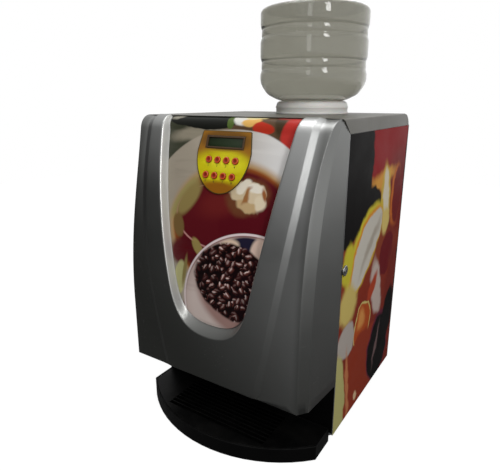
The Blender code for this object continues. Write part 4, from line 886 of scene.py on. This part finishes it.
def makeLcdGlass():  # two rows of sixteen unlit character cells
    material, tree, shader, _ = startMaterial("lcd_glass", (0.03, 0.05, 0.02, 1), 0.22,
                                              Specular_IOR_Level=0.3)
    flat = printPlace(tree)
    middle = panels["display"][2]
    wide, across, high = panels["cells"]
    cells = addNode(tree, "TexBrick", {"offset": 0.0, "squash": 1.0},
                    Vector=vectorNode(tree, "SUBTRACT", flat, (-wide / 2, middle - high, 0)), Scale=1.0,
                    Mortar_Size=0.4 * mm, Mortar_Smooth=0.2, Brick_Width=wide / across, Row_Height=high)
    # painted shade: the sunk glass is darker towards the frame round it and lighter in its middle
    window = spotMask(tree, flat, (0, middle / mm), (40, 12), 0, 0.5)
    shade = mixColor(tree, window, rgb(16, 24, 13), rgb(34, 48, 26))
    shade = mixColor(tree, mathNode(tree, "MULTIPLY", cells.outputs["Fac"], 0.35), shade, rgb(44, 58, 34))
    put(tree, shade, shader.inputs["Base Color"])
    return material


# red plastic, with a painted highlight round the crest and painted shade in the dish
def makeButtonRed():
    material, tree, shader, place = startMaterial("button_red", (0.45, 0.06, 0.01, 1), 0.36, Coat_Weight=0.15)
    radial = partsOf(tree, printPlace(tree))["X"]
    shade = ramp(tree, mathNode(tree, "DIVIDE", radial, panels["buttonRadius"]), button["paintedLightTones"])
    finishShade(tree, shader, place, shade, 1800.0, 0.05, 0.2)
    return material


def openingRings(bm):  # round the display and the buttons
    clear = panels["clear"]
    wide, high, middle = panels["display"]
    rings = ringOf(bm, boxSpots(0, middle, wide + 2 * clear, high + 2 * clear))
    for x, s in buttonSpots:
        rings += ringOf(bm, circleSpots(x, s, panels["buttonRadius"] + clear))
    return rings


def makeArtwork():
    clear = panels["artworkClear"]
    right = recessHalf(door["sideDraft"] + clear, door["bottomDraft"] + clear)
    spots = right + [(-x, s) for x, s in right[:0:-1]]
    bm = bmesh.new()
    bmesh.ops.triangle_fill(bm, edges=ringOf(bm, spots) + openingRings(bm), use_beauty=True)
    bendSheet(bm, panels["artworkThick"], artworkDepth, mitred=True)
    bm.normal_update()
    for face in bm.faces:
        face.material_index = int(face.normal.y > 0)  # plain behind
    finishPiece("artwork_sheet", bm, (artworkPrint, sheetWhite), "door", "artwork", "artwork_panel")


def makeControlPanel():
    turns = [math.pi * (1 + i / panels["archSteps"]) for i in range(panels["archSteps"] + 1)]
    deep = panels["shoulder"] - panels["bottom"]
    low = [(panels["half"] * math.cos(turn), panels["shoulder"] + deep * math.sin(turn)) for turn in turns]
    bm = bmesh.new()
    fillRing(bm, [(-panels["topHalf"], panels["top"]), *low, (panels["topHalf"], panels["top"])])
    upper = [v for v in bm.verts if v.co.z > panels["top"] - mm]
    roundOff(bm, upper, panels["cornerRound"], 4, "VERTICES")
    inner = insetFace(bm, panels["outline"])
    innerEdges = inner.edges[:]
    for face in bm.faces:
        face.material_index = 1
    bmesh.ops.delete(bm, geom=[inner], context="FACES_ONLY")
    bmesh.ops.triangle_fill(bm, edges=innerEdges + openingRings(bm), use_beauty=True)
    bendSheet(bm, panels["thick"], panelDepth)
    finishPiece("control_overlay", bm, (panelPrint, outlineOlive), "door", "control_panel", "control_panel")


def makeDisplay():
    wide, high, middle = panels["display"]
    frameWide, thick, proud = panels["displayFrame"]
    bm = bmesh.new()
    fillRing(bm, boxSpots(0, middle, wide, high))
    bmesh.ops.delete(bm, geom=[insetFace(bm, frameWide * 0.75)], context="FACES_ONLY")
    bendSheet(bm, thick, panelDepth - proud, edge=0.3 * mm)
    finishPiece("display_bezel", bm, (displayFrame,), "door", "display", "display_module")
    bm = bmesh.new()
    fillRing(bm, boxSpots(0, middle, wide - panels["windowInset"], high - panels["windowInset"]))
    thick, sunk = panels["window"]
    bendSheet(bm, thick, panelDepth + sunk, edge=0.2 * mm)
    finishPiece("display_window", bm, (lcdGlass,), "door", "display", "display_module")


def spinProfile(bm, points, steps=48, rounding=()):
    # The profile's corners are rounded first, then it is spun about Z and its poles are closed.
    verts = [bm.verts.new((r, 0, z)) for r, z in points]
    for ends in zip(verts, verts[1:]):
        bm.edges.new(ends)
    for spot, width, segments in rounding:
        corner = min(bm.verts, key=lambda v: (v.co - Vector((spot[0], 0, spot[1]))).length)
        roundOff(bm, [corner], width, segments, "VERTICES")
    bmesh.ops.spin(bm, geom=bm.verts[:] + bm.edges[:], cent=(0, 0, 0), axis=(0, 0, 1), angle=2 * math.pi,
                   steps=steps, use_merge=True)
    bmesh.ops.remove_doubles(bm, verts=bm.verts, dist=0.000005)
    bmesh.ops.recalc_face_normals(bm, faces=bm.faces)


button = {
    "proud": 2.5 * mm,
    "dish": (0.6 * mm, 0.5 * mm),  # sunk in the middle, and half way out
    "shoulder": 0.9 * mm,
    "skirt": (8 * mm, 5.5 * mm, 7 * mm),  # radius, and how deep it starts and ends
    "rounding": (0.5 * mm, 3),
    "steps": 40,
    "paintedLightTones": [(0.0, rgb(122, 24, 6)), (0.45, rgb(142, 30, 6)), (0.66, rgb(196, 66, 16)),
              (0.86, rgb(212, 88, 24)), (1.0, rgb(150, 44, 10))],  # from the middle to the edge; the lighter ring at the crest is a painted highlight, and the darker dish and shoulder are painted shade
}


def makeButtons():
    radius = panels["buttonRadius"]
    crest = radius * 0.82
    skirt, skirtTop, skirtEnd = button["skirt"]
    for index, (x, s) in enumerate(buttonSpots):
        bm = bmesh.new()
        corner = [(0, -button["dish"][0]), (radius * 0.55, -button["dish"][1]), (crest, 0),
                  (radius, -button["shoulder"]), (radius, -skirtTop), (skirt, -skirtTop), (skirt, -skirtEnd),
                  (0, -skirtEnd)]
        spinProfile(bm, corner, button["steps"],
                    [(spot, *button["rounding"]) for spot in ((crest, 0), (radius, -button["shoulder"]))])
        radial = bm.loops.layers.uv.new("print")
        for face in bm.faces:
            for loop in face.loops:
                loop[radial].uv = (math.hypot(loop.vert.co.x, loop.vert.co.y), loop.vert.co.z)
        placed = Matrix.Translation((x, *front(s, panelDepth - button["proud"])))
        turned = Matrix.Rotation(math.pi / 2 - leanAt(s), 4, "X")
        bmesh.ops.transform(bm, verts=bm.verts, matrix=placed @ turned)
        name = f"button_{index + 1}"
        finishPiece(f"{name}_cap", bm, (buttonRed,), name, "button", name)


numeral = {"size": 5.4 * mm, "thick": 0.12 * mm, "below": 6 * mm}


def makeNumerals():  # a plain number under each button
    bm = bmesh.new()
    for index, (x, s) in enumerate(buttonSpots):
        text = bpy.data.curves.new("numeral", "FONT")
        text.body = str(index + 1)
        text.size = numeral["size"]
        text.align_x = "CENTER"
        text.extrude = numeral["thick"]
        maker = addObject("numeral", text)
        mesh = bpy.data.meshes.new_from_object(maker.evaluated_get(bpy.context.evaluated_depsgraph_get()))
        first = len(bm.verts)
        bm.from_mesh(mesh)
        bm.verts.ensure_lookup_table()
        low = s - panels["buttonRadius"] - numeral["below"]
        for vert in bm.verts[first:]:
            vert.co = (vert.co.x + x, *front(low + vert.co.y, panelDepth - vert.co.z))
        bpy.data.objects.remove(maker)
        bpy.data.curves.remove(text)
        bpy.data.meshes.remove(mesh)
    bmesh.ops.remove_doubles(bm, verts=bm.verts, dist=0.000001)
    bmesh.ops.recalc_face_normals(bm, faces=bm.faces)
    finishPiece("button_numerals", bm, (inkDark,), "door", "control_panel")


artworkPrint = makeArtworkPrint()
panelPrint = makePanelPrint()
lcdGlass = makeLcdGlass()
buttonRed = makeButtonRed()
makeDoor()
makeArtwork()
makeControlPanel()
makeDisplay()
makeButtons()
makeNumerals()
print("door made")

# pictures on the side panels, across from front to back and up
sideArt = {
    "ground": [(0.0, rgb(128, 46, 34)), (0.4, rgb(140, 52, 36)), (0.7, rgb(146, 70, 44)),
               (1.0, rgb(112, 26, 30))],
    "groundFrom": (0.05, 0.55),
    "inks": [
        ((148, 28, 32), (120, 535), (200, 64), 0, 0.10),
        ((124, 36, 34), (190, 430), (80, 90), 0, 0.40),
        ((224, 160, 70), (92, 474), (74, 16), 4, 0.50),
        ((206, 112, 48), (182, 426), (32, 66), 0, 0.20),
        ((118, 30, 30), (190, 426), (27, 62), 0, 0.12),
        ((214, 180, 76), (114, 440), (28, 60), 15, 0.20),
        ((230, 220, 196), (115, 440), (17, 52), 15, 0.20),
        ((226, 200, 120), (124, 386), (26, 28), 0, 0.30),
        ((18, 16, 16), (-60, 500), (84, 112), 0, 0.04),
        ((18, 16, 16), (28, 436), (60, 33), -4, 0.08),
        ((18, 16, 16), (-42, 424), (92, 40), 12, 0.08),
        ((212, 196, 60), (12, 356), (108, 54), 38, 0.10),
        ((222, 150, 56), (18, 354), (100, 46), 38, 0.10),
        ((210, 204, 192), (22, 352), (94, 40), 38, 0.06),
        ((180, 170, 156), (40, 352), (60, 10), 40, 0.60),
        ((206, 194, 60), (-74, 350), (24, 36), -20, 0.20),
        ((212, 190, 110), (-58, 266), (38, 46), 20, 0.25),
        ((112, 26, 32), (150, 308), (43, 44), 20, 0.06),
        ((204, 186, 176), (98, 246), (30, 72), 22, 0.20),
        ((180, 70, 44), (70, 258), (34, 16), 40, 0.30),
        ((214, 196, 120), (26, 194), (46, 47), 0, 0.03),
        ((184, 82, 38), (26, 194), (42, 43), 0, 0.05),
        ((220, 148, 80), (16, 206), (18, 20), 0, 0.50),
        ((124, 44, 34), (206, 220), (44, 90), 0, 0.30),
        ((184, 174, 166), (-60, 190), (44, 32), -20, 0.12),
        ((150, 58, 38), (36, 84), (116, 92), 0, 0.06),
        ((192, 186, 122), (-86, 70), (36, 112), 8, 0.10),
        ((200, 126, 84), (-40, 84), (7, 80), 10, 0.40),
        ((224, 190, 150), (10, 38), (7, 12), 20, 0.40),
        ((104, 40, 60), (142, 92), (72, 86), 10, 0.06),
        ((18, 16, 16), (142, 88), (66, 80), 10, 0.05),
        ((18, 16, 16), (198, 150), (38, 66), -6, 0.10),
        ((120, 96, 96), (128, 100), (6, 44), -16, 0.60),
        ((44, 24, 26), (246, 300), (17, 320), 0, 0.15),
    ],
}


def makeSidePrint():
    material, tree, shader, place = startMaterial("side_print", (0.3, 0.05, 0.04, 1), 0.34, IOR=1.07)
    parts = partsOf(tree, place)
    flat = addNode(tree, "CombineXYZ", X=parts["Y"], Y=parts["Z"]).outputs["Vector"]
    loose = wavy(tree, wavy(tree, flat, 10.0, 0.035), 40.0, 0.014)
    ground = ramp(tree, spread(tree, parts["Z"], *sideArt["groundFrom"]), sideArt["ground"])
    shade = paintLayers(tree, loose, ground, sideArt["inks"])
    finishShade(tree, shader, place, shade, 1500.0, 0.06, 0.3, (0.32, 0.1))
    return material


sidePrint = makeSidePrint()

# the bottle and its collar
bottle = {
    "radius": 106.5 * mm,
    "wall": 1.5 * mm,
    "dish": (14 * mm, 1.5 * mm),  # the base's rim, and how far it sinks inside
    "baseRounding": (8 * mm, 3 * mm),
    "waist": 2.4 * mm,
    "waists": ((741 * mm, 14 * mm), (681 * mm, 15 * mm)),  # middle height and half height of each
    "waistRounding": 4 * mm,
    "ring": (0.8 * mm, 1.2 * mm),  # depth and half height of the moulded line at each end of a waist
    "shoulder": (  # how far in, how high and how rounded
        (0, 654 * mm, 5 * mm),
        (3 * mm, 643 * mm, 6 * mm),
        (15 * mm, 626 * mm, 6 * mm),
        (34.5 * mm, 616.5 * mm, 4 * mm),
    ),
    "seat": (61 * mm, 0.3 * mm),  # radius, and how far above the collar
    "neck": (27 * mm, 14 * mm),  # radius, and how far below the seat it starts
    "steps": 128,
}
collar = {
    "bore": 62 * mm,
    "seat": (67 * mm, 2.7 * mm),
    "upper": ((3 * mm, 0), (1.2 * mm, 9 * mm), (0.2 * mm, 10 * mm)),  # how far in, and below the top
    "lower": ((0, 11.5 * mm), (1 * mm, 10 * mm), (1 * mm, 3 * mm), (0, 2 * mm), (0, 0)),  # above the foot
    "rounding": (6 * mm, 6),
    "steps": 96,
}
bottleLow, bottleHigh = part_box("water_bottle")
collarLow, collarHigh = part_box("bottle_collar")
bottleAxis = ((collarLow.x + collarHigh.x) / 2, (collarLow.y + collarHigh.y) / 2, 0)


def makeBottleClear():
    # the grey tint of the clear glass is painted shade: it stands in for darker surroundings seen through the
    # bottle
    material, tree, shader, place = startMaterial("bottle_clear", rgb(184, 183, 175), 0.05, IOR=1.2,
                                                  Transmission_Weight=1.0, Coat_Weight=0.45,
                                                  Coat_Roughness=0.04)
    haze = noise(tree, place, 18.0, 4.0, 0.6)
    put(tree, spread(tree, haze, 0.3, 0.8, 0.03, 0.09), shader.inputs["Roughness"])
    ripple = noise(tree, vectorNode(tree, "MULTIPLY", place, (1.0, 1.0, 0.25)), 26.0, 2.0)
    bumped(tree, shader, ripple, 0.12, 0.004)
    return material


def makeBottle():
    radius = bottle["radius"]
    top = bottleHigh.z
    rim, sink = bottle["dish"]
    low, inner = bottle["baseRounding"]
    outer = [(0, top - sink), (radius - rim, top), (radius, top)]
    rounding = [((radius, top), low, 6), ((radius - rim, top), inner, 2)]
    waist = radius - bottle["waist"]
    ring, ringHalf = bottle["ring"]
    for middle, reach in bottle["waists"]:
        line = [(radius, middle + reach), (waist, middle + reach * 0.55)]
        for z in (middle + reach * 0.5, middle - reach * 0.5):
            line += [(waist, z + ringHalf), (waist - ring, z), (waist, z - ringHalf)]
        line += [(waist, middle - reach * 0.62), (radius, middle - reach)]
        outer += line
        rounding += [(line[0], bottle["waistRounding"], 4), (line[-1], bottle["waistRounding"], 4)]
    shoulder = [((radius - inset, z), width, 4) for inset, z, width in bottle["shoulder"]]
    (seatRadius, lift), (neck, drop) = bottle["seat"], bottle["neck"]
    seat = collarHigh.z + lift
    outer += [spot for spot, _, _ in shoulder]
    outer += [(seatRadius, seat), (neck, seat - drop), (neck, bottleLow.z)]
    rounding += shoulder + [((seatRadius, seat), 2 * mm, 3)]
    bm = bmesh.new()
    spinProfile(bm, outer, bottle["steps"], rounding)
    bmesh.ops.translate(bm, verts=bm.verts, vec=bottleAxis)
    obj = finishPiece("bottle_blown", bm, (bottleClear,), "bottle", "bottle", "water_bottle", smooth=50)
    thicken(obj, bottle["wall"])


def makeCollar():
    high, low = collarHigh.z, collarLow.z
    radius = collarHigh.x - bottleAxis[0]
    seat, lift = collar["seat"]
    upper = [(radius - inset, high - z) for inset, z in collar["upper"]]
    outer = [(collar["bore"], high), *upper, *((radius - inset, low + z) for inset, z in collar["lower"]),
             (seat, low), (seat, low + lift), (collar["bore"], low + lift), (collar["bore"], high)]
    bm = bmesh.new()
    spinProfile(bm, outer, collar["steps"], [(upper[0], *collar["rounding"])])
    bmesh.ops.translate(bm, verts=bm.verts, vec=bottleAxis)
    finishPiece("collar_ring", bm, (collarPale,), "cabinet", "collar", "bottle_collar")


bottleClear = makeBottleClear()
collarPale = surface("collar_pale", rgb(226, 222, 217), 0.40, grain=900, bump=0.05, mottle=0.03,
                     Subsurface_Weight=0.1)
makeBottle()
makeCollar()
print("bottle made")

# the remaining pieces keep their CAD shape, with merged faces and softened edges
bodyOf = {node: body for body, nodes in frame["record"]["behaviour"]["bodies"].items() for node in nodes}
slotOf = {row["node"]: row["material_slot"] for row in frame["record"]["subparts"]}
softened = (  # finish, radius in mm, segments and nodes, where a pair goes by its name without left or right
    (coverGrey, 1.2, 3, "top_cover"),
    (trayBlack, 1.2, 3, "drip_tray"),
    (trayBlack, 0.5, 2, "drip_grille"),
    (trayBlack, 0.3, 2, "cup_bay_panel mains_inlet power_switch"),
    (sidePrint, 0.5, 2, "left_side_panel right_side_panel"),
    (zincPlate, 0.3, 2, "rear_panel base_plate inner_bulkhead canister_shelf lock_cam"),
    (zincPlate, 0.6, 2, "auger_motor"),
    (zincPlate, 0.8, 2, "power_supply"),
    (steelBrushed, 0.2, 1, "hinge_cabinet_leaf hinge_door_leaf"),
    (steelBrushed, 0.3, 2, "hinge_pin"),
    (steelBrushed, 0.4, 2, "boiler_tank"),
    (steelBrushed, 0.6, 2, "boiler_lid whipper_motor"),
    (lockChrome, 0.4, 2, "lock_barrel"),
    (lockChrome, 0.2, 2, "lock_plug"),
    (boardGreen, 0.2, 1, "control_board"),
    (collarPale, 0.3, 2, "water_reservoir"),
    (hoseSilicone, 0.2, 1, "inlet_hose hose"),
    (whiteMoulded, 0.6, 2, "canister"),
    (whiteMoulded, 0.8, 2, "canister_lid"),
    (whiteMoulded, 0.1, 1, "auger"),
    (whiteMoulded, 0.3, 2, "whipper"),
    (bowlMilky, 0.4, 2, "mixing_bowl"),
    (brassCoil, 0.4, 2, "valve"),
    (rubberBlack, 0.8, 2, "foot_front foot_rear"),
)
softening = {
    "merge": 0.01 * mm,
    "flat": 0.5,  # angles in degrees
    "sharp": 38,
    "least": 0.5 * mm,
    "smooth": 40,
}


def softenNode(node, material, radius, segments, inner=None):
    bm = bmesh.new()
    bm.from_mesh(frame["nodes"][node].data)
    bmesh.ops.remove_doubles(bm, verts=bm.verts, dist=softening["merge"])
    bmesh.ops.dissolve_limit(bm, angle_limit=math.radians(softening["flat"]), verts=bm.verts, edges=bm.edges)
    sharp = [e for e in bm.edges if len(e.link_faces) == 2 and e.calc_length() > softening["least"]
             and e.calc_face_angle() > math.radians(softening["sharp"])]
    roundOff(bm, sharp, radius * mm, segments)
    bmesh.ops.recalc_face_normals(bm, faces=bm.faces)
    if inner:  # a printed panel is bare metal inside
        bm.normal_update()
        for face in bm.faces:
            middle = face.calc_center_median()
            face.material_index = int(middle.x * face.normal.x < 0.5 * abs(middle.x))
    obj = finishPiece(f"{node}_finished", bm, (material, inner) if inner else (material,), bodyOf[node],
                      slotOf[node], node, smooth=softening["smooth"])
    even = obj.modifiers.new("evenShading", "WEIGHTED_NORMAL")
    even.keep_sharp = True


for material, radius, segments, names in softened:
    for name in names.split():
        for node in ((name,) if name in bodyOf else (f"{name}_left", f"{name}_right")):
            softenNode(node, material, radius, segments, zincPlate if material is sidePrint else None)
print("cabinet made")


# stage, lights and camera
studio = {
    "cameraPlace": (0.460, -0.780, 0.615),
    "cameraPitch": 16.43,
    "cameraYaw": 33.0,
    "lens": 33.02,
    "worldLevel": 0.34,
    "brightWay": (0.60, 0.25, 0.75),  # the studio is lightest to the right and above
    "brightFrom": (-0.5, 0.2),
    "floorFrom": (0.3, 2.8),  # the same on the floor, in metres
    "dimLevel": 0.03,
    "floorGlow": 0.93,
    "floorColor": (0.14, 0.14, 0.14),
    "floorHalf": 3.0,
    "sensor": 36,
    "lamps": {  # place, what it points at, size in metres and power in watts
        "key": ((1.35, -0.95, 1.45), (0, -0.05, 0.42), (0.30, 0.9), 14),
        "strip": ((0.42, -1.25, 1.05), (0.1, -0.25, 0.45), (0.22, 0.9), 1.6),
        "overhead": ((-0.2, -0.2, 1.8), (0.05, -0.05, 0.5), (0.9, 0.6), 7.5),
        "flash": ((0.44, -0.80, 0.70), (0.03, 0.05, 0.60), (0.02, 0.02), 0.25),
    },
}


def rayLevels(tree, shade):  # how much of its own light a ray meets: all of it when seen or seen through
    seen = tree.nodes.new("ShaderNodeLightPath").outputs
    clear = mathNode(tree, "MAXIMUM", seen["Is Camera Ray"], seen["Is Transmission Ray"])
    direct = mathNode(tree, "MAXIMUM", clear, seen["Is Glossy Ray"])
    return direct, mathNode(tree, "MAXIMUM", clear, shade)


def makeFloorWhite():  # a little light of its own where it is looked at, so that it meets the white behind it
    material, tree, shader, place = startMaterial("floor_white", (*studio["floorColor"], 1), 0.9,
                                                  Emission_Color=(1, 1, 1, 1))
    towards = vectorNode(tree, "DOT_PRODUCT", place, studio["brightWay"])
    shade = spread(tree, towards, *studio["floorFrom"], studio["dimLevel"], 1.0)
    direct, shown = rayLevels(tree, shade)
    glow = mathNode(tree, "MULTIPLY", shown, studio["floorGlow"])
    put(tree, mathNode(tree, "MULTIPLY", direct, glow), shader.inputs["Emission Strength"])
    return material


def makeStage():
    bm = bmesh.new()
    bmesh.ops.create_grid(bm, x_segments=1, y_segments=1, size=studio["floorHalf"])
    addObject("floor", meshFrom(bm, "floor", (makeFloorWhite(),)))


def makeWorld():  # white to look at, and lightest to the right and above for what it lights
    world = bpy.data.worlds.new("studio")
    bpy.context.scene.world = world
    world.use_nodes = True
    tree = world.node_tree
    background = tree.nodes["Background"]
    background.inputs["Color"].default_value = (1, 1, 1, 1)
    way = tree.nodes.new("ShaderNodeTexCoord").outputs["Generated"]
    towards = vectorNode(tree, "DOT_PRODUCT", way, studio["brightWay"])
    direct, shown = rayLevels(tree, spread(tree, towards, *studio["brightFrom"], studio["dimLevel"], 1.0))
    level = mathNode(tree, "MULTIPLY_ADD", direct, 1 - studio["worldLevel"], studio["worldLevel"])
    put(tree, mathNode(tree, "MULTIPLY", level, shown), background.inputs["Strength"])


def makeLamp(name, place, target, size, power):
    data = bpy.data.lights.new(name, "AREA")
    data.shape = "RECTANGLE"
    data.size, data.size_y = size
    data.energy = power
    obj = addObject(name, data)
    obj.visible_transmission = False  # no lamp shows through the bottle
    obj.location = place
    obj.rotation_euler = (Vector(target) - Vector(place)).to_track_quat("-Z", "Y").to_euler()


def makeCamera():
    data = bpy.data.cameras.new("camera")
    data.lens = studio["lens"]
    data.sensor_width = studio["sensor"]
    camera = addObject("camera", data)
    camera.location = studio["cameraPlace"]
    camera.rotation_euler = (math.radians(90 - studio["cameraPitch"]), 0, math.radians(studio["cameraYaw"]))
    bpy.context.scene.camera = camera


makeStage()
makeWorld()
for name, settings in studio["lamps"].items():
    makeLamp(name, *settings)
makeCamera()
bpy.context.scene.view_settings.view_transform = "Standard"
